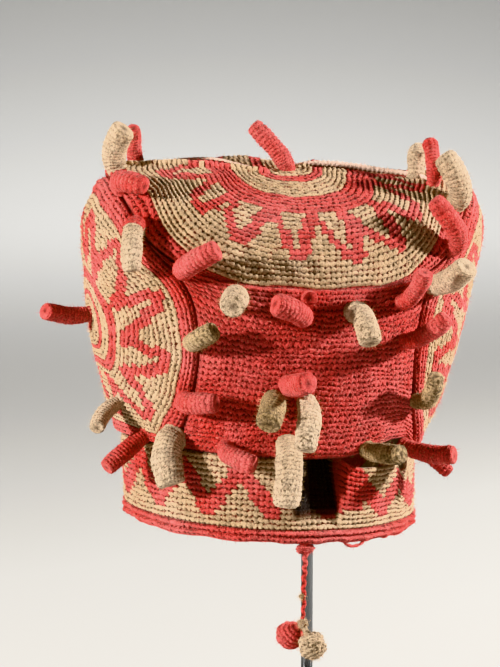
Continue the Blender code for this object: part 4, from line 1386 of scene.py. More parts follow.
class YarnGroups:
    """The node groups that every yarn shares: stitches, colour, and fibres."""

    def __init__(self) -> None:
        """Build the groups once."""
        self.stitch = self.build_stitch()
        self.colour = self.build_colour()
        self.fibre = self.build_fibre()

    def build_stitch(self) -> bpy.types.NodeTree:
        """Height of the stitches, by the formula of Weave.height, a little uneven."""
        inputs = {"Vector": ("Stitch", "Place"), "Float": ("Unevenness", "Ribbing", "Vee", "Pits")}
        group, build, given, sink = make_group("stitch_height", inputs, {"Float": ("Height",)})
        split = build.node("SeparateXYZ", {0: given["Stitch"]})
        places = []
        for axis, scale in ((0, 330.0), (1, 290.0)):
            drift = (build.noise(given["Place"], scale) - 0.5) * given["Unevenness"]
            places.append(build.math("FRACT", Signal(build, split.outputs[axis]) + drift))
        across, up = places
        rib = build.math("POWER", build.math("SINE", up * math.pi), given["Ribbing"])
        block = build.math("SQRT", build.math("SINE", across * math.pi)) * 0.6 + 0.4
        (x0, y0), (dx, dy), half = STRAND
        x, y = build.math("ABSOLUTE", across - 0.5) - x0, up - y0
        t = build.math("DIVIDE", x * dx + y * dy, dx * dx + dy * dy, clamp=True)
        off_x, off_y = x - t * dx, y - t * dy
        square = build.math("DIVIDE", off_x * off_x + off_y * off_y, half * half)
        rod = build.math("SQRT", build.math("SUBTRACT", 1.0, square, clamp=True)) * 0.85 + 0.15
        body = rib * (rod * given["Vee"] + block * (1.0 - given["Vee"]))
        side = build.math("MINIMUM", across, 1.0 - across)
        level = build.math("FRACT", up + (0.5 - PIT_LEVEL)) - 0.5
        wide, tall = (axis * (1.0 / reach) for axis, reach in zip((side, level), PIT))
        pit = build.math("SUBTRACT", 1.0, wide * wide + tall * tall, clamp=True) * given["Pits"]
        build.feed(sink, {"Height": body * (1.0 - pit)})
        return group

    def build_colour(self) -> bpy.types.NodeTree:
        """Colour of crocheted yarn: pale or red, varied and soiled, with painted shade between
        stitches and in folds, and pale specks that are partly painted highlight.
        """
        inputs = {
            "Vector": ("Place",), "Float": ("Height", "Red", "Deep", "Tone", "Soil", "Shade"),
            "Color": ("Pale Colour", "Red Colour", "Dark Colour", "Soil Colour"),
        }
        outputs = {"Color": ("Colour",), "Float": ("Roughness",)}
        group, build, given, sink = make_group("yarn_colour", inputs, outputs)
        place, red, deep, soil = (given[name] for name in ("Place", "Red", "Deep", "Soil"))
        # hollow is 1 between stitches: it paints shade there below, and lets red yarn behind show
        # through
        hollow = build.spread(given["Height"], 0.14, 0.66, 1.0, 0.0)
        peek = build.spread(red, 0.1, 0.3, 0.0, 0.8) * hollow
        share = build.math("MAXIMUM", build.spread(red, 0.5, 0.7, 0.0, 1.0), peek)
        fibre, patch = build.noise(place, 1300.0, 3.0), build.noise(place, 30.0, 3.0)
        value = build.spread(fibre, 0.3, 0.7, 0.50, 1.34)
        # a tone over 1 comes from the painted highlight on the fold's lip
        value = value * build.spread(given["Tone"], 0.0, 1.6, 0.74, 1.36)
        varied = build.add("HueSaturation", "Color", {
            "Color": build.mix(share, given["Pale Colour"], given["Red Colour"]),
            "Value": value * build.spread(patch, 0.3, 0.7, 0.82, 1.12),
            "Saturation": build.spread(patch, 0.3, 0.7, 1.06, 0.92),
        })
        # pale pink specks: loose pale fibres, and also a painted highlight that turns the red
        # towards the pink of its lit fuzz
        speck_and_highlight = build.spread(build.noise(place, 850.0), 0.60, 0.72, 0.0, 0.38)
        bright = build.mix(speck_and_highlight, varied, (0.66, 0.36, 0.26, 1.0))
        mottle = build.noise(place, 480.0, 4.0) + soil * 0.22
        worn = build.spread(mottle, 0.62, 0.74, 0.0, 0.9) * build.math("SIGN", soil)
        soiled = build.mix(worn, bright, given["Soil Colour"])
        # painted shade: the hollows between stitches, by Shade, and the painted shade value darken
        # the colour towards Dark Colour
        shadow = build.math("MAXIMUM", hollow * given["Shade"], deep, clamp=True)
        dark = build.mix(1.0, soiled, given["Dark Colour"], "MULTIPLY")
        # painted shade over 1 darkens on towards black, for the deepest pockets
        black = build.spread(deep, 1.0, 2.0, 1.0, 0.1)
        build.feed(sink, {
            "Colour": build.mix(1.0, build.mix(shadow, soiled, dark), black, "MULTIPLY"),
            "Roughness": build.spread(fibre, 0.3, 0.7, 0.82, 1.0),
        })
        return group

    def build_fibre(self) -> bpy.types.NodeTree:
        """Height of the stitches with the yarn's plies and loose fibres on them."""
        inputs = {"Vector": ("Stitch", "Place"), "Float": ("Height", "Plies")}
        group, build, given, sink = make_group("yarn_fibre", inputs, {"Float": ("Height",)})
        split = build.node("SeparateXYZ", {0: given["Stitch"]})
        across, up = (Signal(build, split.outputs[axis]) for axis in (0, 1))
        lean = build.math("ABSOLUTE", build.math("FRACT", across) - 0.5)
        wave = build.math("SINE", (up * 3.0 + lean * 3.4) * (2 * math.pi))
        plies = build.spread(wave, -1.0, 1.0, 0.0, 1.0) * given["Plies"]
        loose = build.noise(given["Place"], 750.0, 4.0) * 0.9
        build.feed(sink, {"Height": given["Height"] + loose + plies})
        return group


@dataclass(frozen=True)
class YarnFinish:
    """A yarn's material: its colours, the painted shade of its hollows, and its relief."""

    name: str
    look: Weave
    pale: Colour = (0.50, 0.350, 0.212)
    red: Colour = (0.53, 0.078, 0.070)
    # dark is the colour that painted shade multiplies by; shade is how strongly the hollows between
    # stitches are painted with it
    dark: Colour = (0.10, 0.055, 0.04)
    soil: Colour = (0.095, 0.064, 0.034)
    shade: float = 0.92
    plies: float = 0.18
    unevenness: float = 1.1
    relief: float = 0.0006
    sheen: float = 0.10

    def material(self, groups: YarnGroups) -> Material:
        """Make the material."""
        material, build, shader, place = start_material(self.name)
        spot = {"Place": place, "Stitch": build.add("UVMap", "UV", {}, uv_map="stitch")}
        look = {"Ribbing": self.look.ribbing, "Vee": self.look.vee, "Pits": self.look.pits}
        inputs = {**spot, **look, "Unevenness": self.unevenness}
        height = build.add("Group", "Height", inputs, node_tree=groups.stitch)
        inputs = {"Place": place, "Height": height, "Shade": self.shade}
        for part in ("Pale", "Red", "Dark", "Soil"):
            inputs[part + " Colour"] = (*getattr(self, part.lower()), 1.0)
        for part in ("Red", "Deep", "Tone", "Soil"):
            inputs[part] = build.add("Attribute", "Fac", {}, attribute_name=part.lower())
        colour = build.node("Group", inputs, node_tree=groups.colour)
        inputs = {**spot, "Height": height, "Plies": self.plies}
        fibre = build.add("Group", "Height", inputs, node_tree=groups.fibre)
        build.feed(shader, {
            "Base Color": Signal(build, colour.outputs["Colour"]),
            "Roughness": Signal(build, colour.outputs["Roughness"]),
            "Normal": build.relief(fibre, self.relief), "Sheen Weight": self.sheen,
            "Sheen Roughness": 0.4, "Sheen Tint": (1.0, 0.86, 0.80, 1.0), "Specular IOR Level": 0.2,
        })
        return material


@dataclass(frozen=True)
class FibreFinish:
    """Loose yarn fibres, lighter and darker from one to the next."""

    name: str
    light: Colour
    dark: Colour

    def material(self) -> Material:
        """Make the material."""
        material, build, shader, place = start_material(self.name)
        share = build.spread(build.noise(place, 420.0), 0.35, 0.65, 0.0, 1.0)
        build.feed(shader, {
            "Base Color": build.mix(share, (*self.dark, 1.0), (*self.light, 1.0)),
            "Roughness": build.spread(share, 0.0, 1.0, 0.9, 0.7), "Specular IOR Level": 0.2,
        })
        return material


@dataclass(frozen=True)
class SteelFinish:
    """Polished steel with fine lengthwise scratches and faint smears."""

    name: str = "polished_steel"
    colour: Colour = (0.15, 0.155, 0.16)
    stretch: Colour = (900.0, 900.0, 12.0)
    scratch_depth: float = 0.00002
    smeared: float = 0.88

    def material(self) -> Material:
        """Make the material."""
        material, build, shader, place = start_material(self.name)
        scratch = build.noise(build.stretched(place, self.stretch), 1.0, 4.0)
        smear = build.noise(place, 30.0, 3.0)
        rough = build.spread(scratch, 0.3, 0.7, 0.16, 0.30)
        duller = tuple(self.smeared * part for part in self.colour)
        share = build.spread(smear, 0.35, 0.7, 0.0, 1.0)
        build.feed(shader, {
            "Base Color": build.mix(share, (*self.colour, 1.0), (*duller, 1.0)),
            "Roughness": rough + build.spread(smear, 0.4, 0.7, 0.0, 0.10),
            "Normal": build.relief(scratch, self.scratch_depth), "Metallic": 1.0,
        })
        return material


@dataclass(frozen=True)
class WoodFinish:
    """Plain turned wood with rings and pores."""

    name: str = "turned_wood"
    light: Colour = (0.45, 0.30, 0.17)
    dark: Colour = (0.25, 0.15, 0.08)
    stretch: Colour = (14.0, 260.0, 260.0)
    pore_depth: float = 0.0001

    def material(self) -> Material:
        """Make the material."""
        material, build, shader, place = start_material(self.name)
        grain = build.noise(build.stretched(place, self.stretch), 1.0, 5.0)
        inputs = {"Vector": place, "Scale": 90.0, "Distortion": 3.0}
        rings = build.add("TexWave", "Fac", inputs, wave_type="BANDS", bands_direction="Y")
        streak = build.spread(grain, 0.3, 0.7, 0.2, 1.0) * rings
        build.feed(shader, {
            "Base Color": build.mix(streak, (*self.light, 1.0), (*self.dark, 1.0)),
            "Roughness": build.spread(grain, 0.3, 0.7, 0.45, 0.65),
            "Normal": build.relief(grain, self.pore_depth),
        })
        return material


def turned_rings(outline: Array, turn: Array) -> Array:
    """Rings of points round the Z axis, from an outline of radii and heights."""
    radius, height = outline[:, :1], outline[:, 1:]
    return np.stack([radius * np.cos(turn), radius * np.sin(turn), height + 0 * turn], -1)


@dataclass
class Stand:
    """The round base plate, the rod, and the wooden rest hidden under the crown."""

    base_radius: float = 0.080
    base_thickness: float = 0.008
    rod_radius: float = 0.00375
    edge: float = 0.0012
    rod_edge: float = 0.0005

    def turned(self, name: str, outline: Array, material: Material, sides: int) -> Piece:
        """Make a body turned round the Z axis from an outline of radii and heights."""
        draft = Draft()
        number = draft.add(turned_rings(outline, turns(sides)), closed=True)
        draft.fill(number)
        draft.tips(number, outline[[0, -1]][:, [0, 0, 1]] * (0, 0, 1))
        return draft.piece(name, material)

    def rounded(self, radius: float, low: float, high: float, edge: float) -> Array:
        """Outline of an upright disc whose two edges are rounded by quarter circles."""
        angle = np.linspace(0, math.pi / 2, 7)
        sine, cosine, middle = edge * np.sin(angle), edge * np.cos(angle), radius - edge
        foot = np.stack([middle + sine, low + edge - cosine], -1)
        head = np.stack([middle + cosine, high - edge + sine], -1)
        flat = np.array([(radius * 0.5, low)])
        return np.concatenate([flat, foot, head, flat + (0, high - low)])

    def build(self, steel: Material, wood: Material) -> None:
        """Make the base and the rod, and finish the rest."""
        outline = self.rounded(self.base_radius, 0.0, self.base_thickness, self.edge)
        base = self.turned("stand_base_plate", outline, steel, 192)
        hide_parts("stand_base")
        lowest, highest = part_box("stand_rod")
        outline = self.rounded(self.rod_radius, lowest[2], highest[2], self.rod_edge)
        rod = self.turned("stand_round_rod", outline, steel, 64)
        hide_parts("stand_rod")
        for piece in (base, rod):
            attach(piece, "root")
        rest = frame["nodes"]["crown_rest"]
        rest.data.materials.clear()
        rest.data.materials.append(wood)


@dataclass
class Studio:
    """The floor, the lights and the camera."""

    target: tuple[float, float, float] = (-0.0347, 0.0087, 0.2470)
    azimuth: float = -14.0
    elevation: float = 8.0
    distance: float = 1.600
    sharpness: float = 0.00062
    picture: tuple[int, int] = (500, 667)

    def toward(self, azimuth: float, elevation: float) -> Vector:
        """Unit vector from the target towards an azimuth and elevation."""
        a, e = math.radians(azimuth), math.radians(elevation)
        return Vector((math.sin(a) * math.cos(e), -math.cos(a) * math.cos(e), math.sin(e)))

    def camera(self) -> None:
        """Set the camera at the photograph's angle; the sensor's width is the picture's height."""
        data = bpy.data.cameras.new("camera")
        data.sensor_width = 36.0
        data.lens = 36.0 * self.distance / (self.sharpness * self.picture[1])
        camera = bpy.data.objects.new("camera", data)
        back = self.toward(self.azimuth, self.elevation)
        camera.location = Vector(self.target) + back * self.distance
        camera.rotation_mode = "QUATERNION"
        camera.rotation_quaternion = (-back).to_track_quat("-Z", "Y")
        bpy.context.scene.collection.objects.link(camera)
        bpy.context.scene.camera = camera

    def light(
        self, name: str, azimuth: float, elevation: float, distance: float, size: float,
        power: float, colour: Colour, aim: tuple[float, float] | None = None, spread: float = 180.0,
    ) -> None:
        """Add a square area light that looks at the target, or in a direction of its own.

        Args:
            name: Name of the light.
            azimuth: Degrees round the target, 0 in front and 90 on the viewer's right.
            elevation: Degrees above the target.
            distance: Metres from the target.
            size: Side of the square, in metres.
            power: Watts.
            colour: Its colour.
            aim: Azimuth and elevation that it looks towards, or None for the target.
            spread: Degrees across the cone that its light fills.
        """
        data = bpy.data.lights.new(name, "AREA")
        data.size = size
        data.energy = power
        data.color = colour
        data.spread = math.radians(spread)
        lamp = bpy.data.objects.new(name, data)
        back = self.toward(azimuth, elevation)
        lamp.location = Vector(self.target) + back * distance
        lamp.rotation_mode = "QUATERNION"
        lamp.rotation_quaternion = (self.toward(*aim) if aim else -back).to_track_quat("-Z", "Y")
        lamp.visible_camera = False
        bpy.context.scene.collection.objects.link(lamp)

    def floor(self) -> None:
        """Add a wide pale floor that curves up into a round backdrop."""
        material = bpy.data.materials.new("pale_floor")
        material.use_nodes = True
        shader = material.node_tree.nodes["Principled BSDF"]
        shader.inputs["Base Color"].default_value = (0.46, 0.455, 0.44, 1.0)
        shader.inputs["Roughness"].default_value = 0.9
        reach, bend, sides = 3.6, 5.0, 96
        angle = np.linspace(0, math.pi / 2, 64)
        curve = np.stack([reach + bend * np.sin(angle), bend - bend * np.cos(angle)], -1)
        flat = [(0.001, 0.0), (reach * 0.4, 0.0)]
        outline = np.concatenate([flat, curve, [(reach + bend, 8.0)]])
        ring = turned_rings(outline, 2 * math.pi * np.arange(sides + 1) / sides)
        number = np.arange(ring[..., 0].size).reshape(ring.shape[:2])
        faces = np.stack([number[:-1, :-1], number[:-1, 1:], number[1:, 1:], number[1:, :-1]], -1)
        mesh = bpy.data.meshes.new("floor")
        mesh.from_pydata(ring.reshape(-1, 3).tolist(), [], faces.reshape(-1, 4).tolist())
        mesh.polygons.foreach_set("use_smooth", np.ones(len(mesh.polygons), dtype=bool))
        mesh.materials.append(material)
        floor = bpy.data.objects.new("floor", mesh)
        bpy.context.scene.collection.objects.link(floor)

    def build(self) -> None:
        """Set up the whole studio."""
        self.camera()
        self.floor()
        self.light("left", -74, 14, 1.6, 0.10, 58.0, (1.0, 0.965, 0.91))
        self.light("right", 78, 20, 1.6, 0.10, 82.0, (1.0, 0.97, 0.93))
        self.light("fill", 4, 30, 2.4, 1.6, 0.6, (0.96, 0.98, 1.0))
        self.light("back", 180, 40, 2.4, 1.6, 15.0, (0.97, 0.98, 1.0))
        for step in range(6):
            azimuth, white = 166 + 60 * step, (1.0, 1.0, 1.0)
            self.light(f"ring_{step}", azimuth, 42, 3.5, 1.2, 68.0, white, (azimuth, -56), 118)
        world = bpy.data.worlds.new("studio")
        world.use_nodes = True
        background = world.node_tree.nodes["Background"]
        background.inputs["Color"].default_value = (0.86, 0.87, 0.88, 1.0)
        background.inputs["Strength"].default_value = 0.07
        bpy.context.scene.world = world
        bpy.context.scene.view_settings.view_transform = "Khronos PBR Neutral"


BURLS = [Burl("burl_" + row[0], *row[1:]) for row in (
    ("crown_centre", -6, 86, 29, -46, 1.02, 0.93, RED, 0.0, 0.0, 0.16),
    ("peak_left_pale", -91, 41, 34, 20, 0.82, 1.24, NATURAL),
    ("peak_left_back", -102, 45, 34, 18, 0.80, 0.76, RED),
    ("peak_left_front", -78, 37, -8, 72, 0.84, 1.03, RED),
    ("corner_left", -66, 29.5, -70, 30, 0.98, 1.03, NATURAL, 0.1, 0.4),
    ("disc_left_centre", -88, 2, 14, 16, 0.94, 0.88, RED),
    ("disc_left_low", -78, -25, -10, 29, 0.89, 0.82, NATURAL, 0.3),
    ("disc_left_bottom", -69, -35, -4, 0, 1.00, 0.88, RED),
    ("front_left_high", -49.5, 21, 23, 51, 0.98, 1.13, RED),
    ("front_left_pale", -31, 14, -24, -2, 0.84, 1.29, NATURAL, 0.35),
    ("front_left_worn", -44, -2, 25, 50, 0.80, 0.98, WORN, 0.75),
    ("front_centre_high", -6, 9, 8, -44, 0.94, 1.13, RED),
    ("front_left_mid", -47, -21, 6, 68, 0.89, 1.03, RED),
    ("front_left_low", -32, -35, -8, 58, 0.84, 0.93, RED),
    ("front_right_bent", 15, 11, -50, 0, 0.94, 1.13, NATURAL, 0.45),
    ("front_centre_mid", -10, -15, 10, 18, 0.84, 1.13, RED),
    ("front_centre_worn", -15, -21, -22, -10, 0.80, 1.26, WORN, 0.8),
    ("front_centre_long", -3, -21.5, -42, -14, 1.06, 1.13, NATURAL, 0.5),
    ("waist_centre", -9, -34, -54, -6, 1.16, 1.32, NATURAL, 0.3),
    ("waist_left", -53, -33.5, -42, 28, 0.94, 1.50, NATURAL, 0.3),
    ("front_right_high", 36, 13.5, 24, -3, 0.96, 0.88, RED),
    ("disc_right_pale", 51, 17.5, 19, -1, 0.94, 1.22, NATURAL),
    ("front_right_mid", 36, 0, 29, 12, 1.06, 0.88, RED),
    ("peak_right_front", 61, 27, 55, -72, 1.06, 1.03, RED),
    ("peak_right_pale", 71, 37, 66, -28, 0.92, 1.26, NATURAL),
    ("peak_right_red", 76, 44.5, 49, -2, 0.84, 0.78, RED),
    ("peak_right_back", 85, 48.5, 50, 28, 0.70, 0.98, NATURAL),
    ("front_right_worn", 45.5, -21, 47, -32, 0.89, 0.88, WORN, 0.75),
    ("waist_right_worn", 23, -35, 12, 6, 0.89, 0.98, WORN, 0.9),
    ("waist_right_long", 43, -35, 13, 4, 1.06, 0.93, RED, 0.2),
    ("waist_right_thin", 50, -35.5, -14, 17, 0.88, 0.68, RED),
    ("front_nub", -4, 16, -17, -2, 0.40, 0.72, RED),
    ("back_high_left", -140, 16, 10, 10, 0.94, 1.03, RED),
    ("back_high", -176, 12, -15, -12, 0.89, 1.18, NATURAL, 0.3),
    ("back_high_right", 145, 14, 12, 20, 0.94, 0.98, RED),
    ("back_mid_left", -150, -10, -20, 15, 0.89, 1.03, NATURAL, 0.5),
    ("back_mid_right", 160, -12, 5, -15, 0.94, 0.93, RED),
    ("back_waist_left", -145, -32, -30, 0, 1.00, 1.13, RED),
    ("back_waist_right", 150, -32, -32, 8, 1.06, 1.23, NATURAL, 0.4),
    ("disc_right_back", 126, -14, 8, -6, 0.94, 0.88, RED),
)]


def teeth(first: float, last: float, count: int, low: float, high: float) -> tuple:
    """Corners of even teeth between two shares of the way round.

    Each tooth rises nearly straight outwards, has a flat tip, and slants back.

    Args:
        first: Share of the way round where the teeth start.
        last: Share where they end.
        count: How many teeth.
        low: Row of the valleys.
        high: Row of the tips.

    Returns:
        Pairs of share and row.
    """
    step = (last - first) / count
    middle = 0.5 * (low + high)
    profile = (
        (0.02, low, 0.85), (0.12, middle, 0.85), (0.22, high, 0.95), (0.42, high, 1.1),
        (0.66, middle, 1.1), (0.96, low, 1.0),
    )
    return tuple(
        (first + (i + share) * step, row, half)
        for i in range(count) for share, row, half in profile
    )


CROWN_ZIGZAG = (
    (0.011, 17.6, 0.75), (0.019, 21.0, 0.75), (0.026, 23.5, 0.75), (0.035, 26.2, 0.9),
    (0.047, 26.8, 1.15), (0.0495, 25.0, 1.2), (0.051, 21.1, 1.2), (0.054, 17.8, 1.1),
    (0.065, 21.3, 0.75), (0.074, 24.0, 0.75), (0.084, 26.0, 0.8), (0.095, 26.6, 1.1),
    (0.0965, 23.6, 1.15), (0.101, 20.3, 1.1), (0.104, 17.6, 1.0), (0.119, 21.0, 0.8),
    (0.124, 23.8, 0.8), (0.136, 26.4, 1.0), (0.149, 24.6, 1.0), (0.158, 22.5, 0.9),
    (0.165, 20.3, 0.9), (0.174, 17.6, 0.9), *teeth(0.178, 0.824, 12, 17.4, 25.8),
    (0.835, 17.2, 1.1), (0.847, 21.8, 1.1), (0.863, 24.4, 1.1), (0.873, 24.4, 1.0),
    (0.884, 21.3, 1.0), (0.8885, 17.0, 1.0), (0.894, 17.2, 0.85), (0.911, 22.0, 0.85),
    (0.920, 25.1, 1.0), (0.9295, 25.3, 1.1), (0.939, 21.0, 1.1), (0.948, 17.6, 1.1),
    (0.957, 17.2, 0.8), (0.968, 21.0, 0.8), (0.974, 24.0, 0.85), (0.981, 25.6, 1.0),
    (0.991, 25.7, 1.15), (0.9945, 23.0, 1.15), (1.0005, 19.6, 1.15), (1.0065, 17.2, 1.0),
)
SIDE_ZIGZAG = (
    (0.030, 11.5, 1.0), (0.029, 16.5, 1.0), (0.030, 20.3, 1.0), (0.040, 20.3, 1.0),
    (0.065, 15.5, 1.0), (0.0896, 11.0, 1.0), (0.092, 16.0, 1.0), (0.101, 21.0, 1.0),
    (0.113, 21.2, 1.0), (0.1486, 16.9, 1.05), (0.1847, 13.4, 1.05), (0.195, 11.2, 1.0),
    (0.1944, 17.7, 1.0), (0.1955, 20.6, 1.0), (0.213, 20.3, 1.05), (0.234, 16.0, 1.05),
    (0.277, 11.5, 1.0), (0.279, 16.5, 1.0), (0.281, 19.9, 1.0), (0.300, 19.8, 1.05),
    (0.322, 16.0, 1.05), (0.3535, 12.0, 1.0), (0.359, 16.7, 1.0), (0.372, 19.9, 1.0),
    (0.387, 19.7, 1.05), (0.408, 16.0, 1.05), (0.440, 11.8, 1.0), (0.450, 17.4, 1.0),
    (0.459, 19.9, 1.0), (0.472, 19.9, 1.0), (0.495, 16.0, 1.0), (0.525, 11.8, 1.0),
    *teeth(0.530, 1.028, 6, 11.6, 20.1),
)


@dataclass
class Cap:
    """The whole cap: its panels, band, edging and burls."""

    form: CapForm
    natural: Material
    red: Material
    burls: dict[Yarn, Material]
    # the fold across the top, as X and Y in the cap's frame
    fold_path: tuple = (
        (-0.115, 0.009), (-0.100, 0.007), (-0.055, -0.009), (-0.015, -0.011), (0.0, -0.004),
        (0.015, 0.001), (0.048, 0.005), (0.084, 0.003), (0.105, 0.006), (0.125, 0.0),
    )

    pieces: list = field(default_factory=list)

    def own(self, piece: Piece, node: str, slot: Yarn) -> None:
        """Let a piece stand for a node and ride on the frame."""
        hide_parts(node)
        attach(piece, "root")
        self.pieces.append(piece)

    def crown_panel(self) -> PolarPanel:
        """The top disc's layout; its field ends at the pale yarn's edge."""
        form = self.form
        knots = np.array((0, 30, 42, 53, 60, 68, 90), dtype=float)
        levels = np.array((20.5, 20.5, 22.5, 28, 33, 38.5, 43.5))

        def field_edge(azimuth: Array) -> Array:
            """Degrees from the top to the pale yarn's edge, at an azimuth."""
            folded = np.abs((np.asarray(azimuth, float) + 180.0) % 360.0 - 180.0)
            folded = np.where(folded > 90.0, 180.0 - folded, folded)
            pale = np.interp(folded, knots, levels)
            return 90.0 - np.maximum(pale, form.crown_edge(azimuth) + 0.25)

        return PolarPanel(
            form, lambda azimuth, drop: direction(azimuth + 0 * drop, 90.0 - drop), field_edge,
            lambda azimuth: 90.0 - form.crown_edge(azimuth), 32, 3, 700,
        )

    def side_panel(self, side: int) -> PolarPanel:
        """A side disc's layout; three border rows run outside its field."""
        form = self.form
        return PolarPanel(
            form, lambda angle, reach: side_direction(side, angle + 0 * reach, reach),
            lambda angle: form.disc_reach(angle) - 4.1, form.disc_reach, 24, 3, 500, rounding=0.46,
        )

    def border(self, away: Array) -> tuple[Array, Array]:
        """Height and painted shade of a border, by distance from the panel's edge.

        The border is one slow swell 11 mm wide, and its outer edge turns down in a groove that is
        painted with shade.
        """
        swell = 0.0013 * np.sin(np.clip(away / 0.011, 0, 1) * math.pi)
        groove = bump(away, 0.0016)
        return swell - 0.0024 * groove, 0.85 * groove

    def crown_fold(self, row: Array, fraction: Array, points: Array) -> tuple[Array, Array, Array]:
        """Height, painted shade and painted highlight of the folds on the top disc.

        A narrow lip runs across the top from corner to corner, with a groove behind it on the left
        and before it on the right; towards the sides the border swells. The grooves and the
        border's edge are painted with shade, and the lip with a highlight.
        """
        path = np.array(self.fold_path)
        off = points[..., 1] - np.interp(points[..., 0], *path.T)
        across = np.abs(points[..., 0])
        strength = np.clip((across - 0.008) / 0.01, 0, 1) * np.clip((0.116 - across) / 0.008, 0, 1)
        behind = np.where(points[..., 0] < 0, 1.0, -1.0)
        lip = bump(off, 0.0012) * strength
        groove = bump(off - 0.0030 * behind, 0.0015) * strength
        swell, edge = self.border(self.crown.from_edge(row, fraction))
        sides = np.clip((across - 0.066) / 0.02, 0, 1)
        lift = 0.0034 * lip - 0.0028 * groove + swell * sides - 0.0012 * edge * (1 - sides)
        # painted shade in the grooves and along the border's edge; the lip is returned as a painted
        # highlight
        return lift, np.clip(1.3 * groove + edge * (0.4 + 0.6 * sides), 0, 1), lip

    def side_fold(self, panel: PolarPanel) -> Fold:
        """The folds of a side disc: its border swells all round."""

        def fold(row: Array, fraction: Array, points: Array) -> tuple[Array, Array, Array]:
            """Height, painted shade, and a painted highlight of zero, at places on the disc."""
            swell, edge = self.border(panel.from_edge(row, fraction))
            return swell, edge, 0 * swell

        return fold

    def build(self) -> list[Piece]:
        """Make every piece."""
        self.crown = self.crown_panel()
        pattern = Sunburst(((5.0, 6.6), (12.0, 16.7)), CROWN_ZIGZAG, 32.0)
        piece = self.crown.build("cap_crown_disc", pattern, self.natural, self.crown_fold, 11)
        self.own(piece, "crown_disc", NATURAL)
        for side, name in ((-1, "left"), (1, "right")):
            panel = self.side_panel(side)
            pattern = Sunburst(((0.0, 1.6), (4.6, 6.0), (8.2, 10.4)), SIDE_ZIGZAG, 23.2)
            title, fold = f"cap_side_disc_{name}", self.side_fold(panel)
            piece = panel.build(title, pattern, self.natural, fold, 20 + side)
            self.own(piece, f"side_disc_{name}", NATURAL)
        lifted = ((12, 0), (20, 0.8), (30, 3.2), (36, 4.4), (46, 4.4), (53, 1.2), (56, 0))
        for name, turn, seed, hem in (("front", 0.0, 31, lifted), ("back", 180.0, 32, ((0, 0),))):
            piece = WrapPanel(self.form, turn, hem=hem).build(f"cap_{name}_panel", self.red, seed)
            self.own(piece, f"{name}_panel", RED)
        count = 15
        corners = []
        for i in range(-9, count - 6):
            azimuth = 9.6 + 360.0 * i / count
            corners += [(azimuth, 3.2), (azimuth + 180.0 / count, 10.6)]
        band = BandPiece(self.form, zigzag=tuple(corners))
        self.own(band.build(self.natural, 41), "head_band", NATURAL)
        self.own(band.build_edging(self.red, 42), "rim_edging", RED)
        for seed, burl in enumerate(BURLS):
            piece = burl.build(self.form, self.burls[burl.yarn], 100 + seed)
            self.own(piece, burl.name, burl.yarn)
        return self.pieces


@dataclass
class FoldRidge:
    """The standing edge of the fold across the top: a narrow lip of pale yarn, lightened by a
    painted highlight, with painted shade at its foot.
    """

    form: CapForm
    # places along each stretch, in the cap's frame: X, Y, and height over the crochet
    stretches: tuple = (
        (
            (0.006, 0.001, 0.0), (0.014, 0.000, 0.0028), (0.030, 0.000, 0.0040),
            (0.048, 0.001, 0.0042), (0.064, 0.000, 0.0038), (0.076, -0.004, 0.0034),
            (0.085, -0.012, 0.0030), (0.095, -0.024, 0.0),
        ),
        (
            (-0.097, 0.006, 0.0), (-0.090, 0.003, 0.0020), (-0.074, 0.004, 0.0022),
            (-0.060, 0.007, 0.0020), (-0.046, 0.007, 0.0016), (-0.034, 0.000, 0.0014),
            (-0.022, -0.005, 0.0),
        ),
    )
    thickness: float = 0.0013
    sunk: float = 0.0008
    whipping: float = 0.0030

    def ground(self, places: Array) -> tuple[Array, Array]:
        """Points of the crown above places given by X and Y, and the normals there.

        The direction from the heart to a place is found by taking the height of the last
        point found, a few times over.
        """
        height = np.full(len(places), 0.094)
        for _ in range(8):
            aimed = unit(np.column_stack([places, height]))
            points = self.form.surface(aimed)
            share = np.hypot(*places.T) / np.hypot(*points[:, :2].T)
            height = (points[:, 2] - self.form.heart) * share
        return points, self.form.normals(aimed)

    def build(self, material: Material) -> Piece:
        """Make the piece: an upright oval carried along each stretch, swollen by whipping stitches.

        The oval is as tall as the stretch says, plus what is sunk into the crochet, and the
        stitches swell it by the sixth power of a cosine that winds round and along it.
        """
        count, sides = 200, 14
        draft = Draft()
        turn = turns(sides)
        for stretch in self.stretches:
            knots = np.arange(len(stretch), dtype=float)
            at = np.linspace(0, knots[-1], count)
            x, y, tall = (through(knots, values, at) for values in np.array(stretch).T)
            ground, normal = self.ground(np.stack([x, y], -1))
            along = unit(np.gradient(ground, axis=0))
            across = unit(np.cross(along, normal))
            wind = 2 * math.pi * travelled(ground)[:, None] / self.whipping
            strand = np.abs(np.cos((turn + wind) / 2)) ** 6
            swell = 0.86 + 0.24 * strand
            taper = np.clip(np.minimum(at, knots[-1] - at) * 2.5, 0.25, 1)[:, None]
            half = (np.maximum(tall, 0.0) + self.sunk)[:, None] / 2
            upward = half - self.sunk + half * np.cos(turn) * swell
            sideways = self.thickness / 2 * taper * np.sin(turn) * swell
            points = ground[:, None] + upward[..., None] * normal[:, None]
            points += sideways[..., None] * across[:, None]
            share = (upward + self.sunk) / (2 * half)
            # painted highlight: the tone is raised to 1.5; painted shade darkens the foot and the
            # gaps between the whipping stitches
            number = draft.add(
                self.form.place(points), closed=True, red=0.0, tone=1.5 + 0 * share,
                deep=np.clip(1.2 - 2.0 * share, 0, 1) + 0.4 * (1 - strand) ** 2 * (share < 0.7),
            )
            draft.fill(number)
            # painted shade at the two ends
            draft.tips(number, self.form.place(points[[0, -1]].mean(1)), deep=0.8)
        piece = draft.piece("cap_crown_fold", material)
        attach(piece, "root")
        return piece


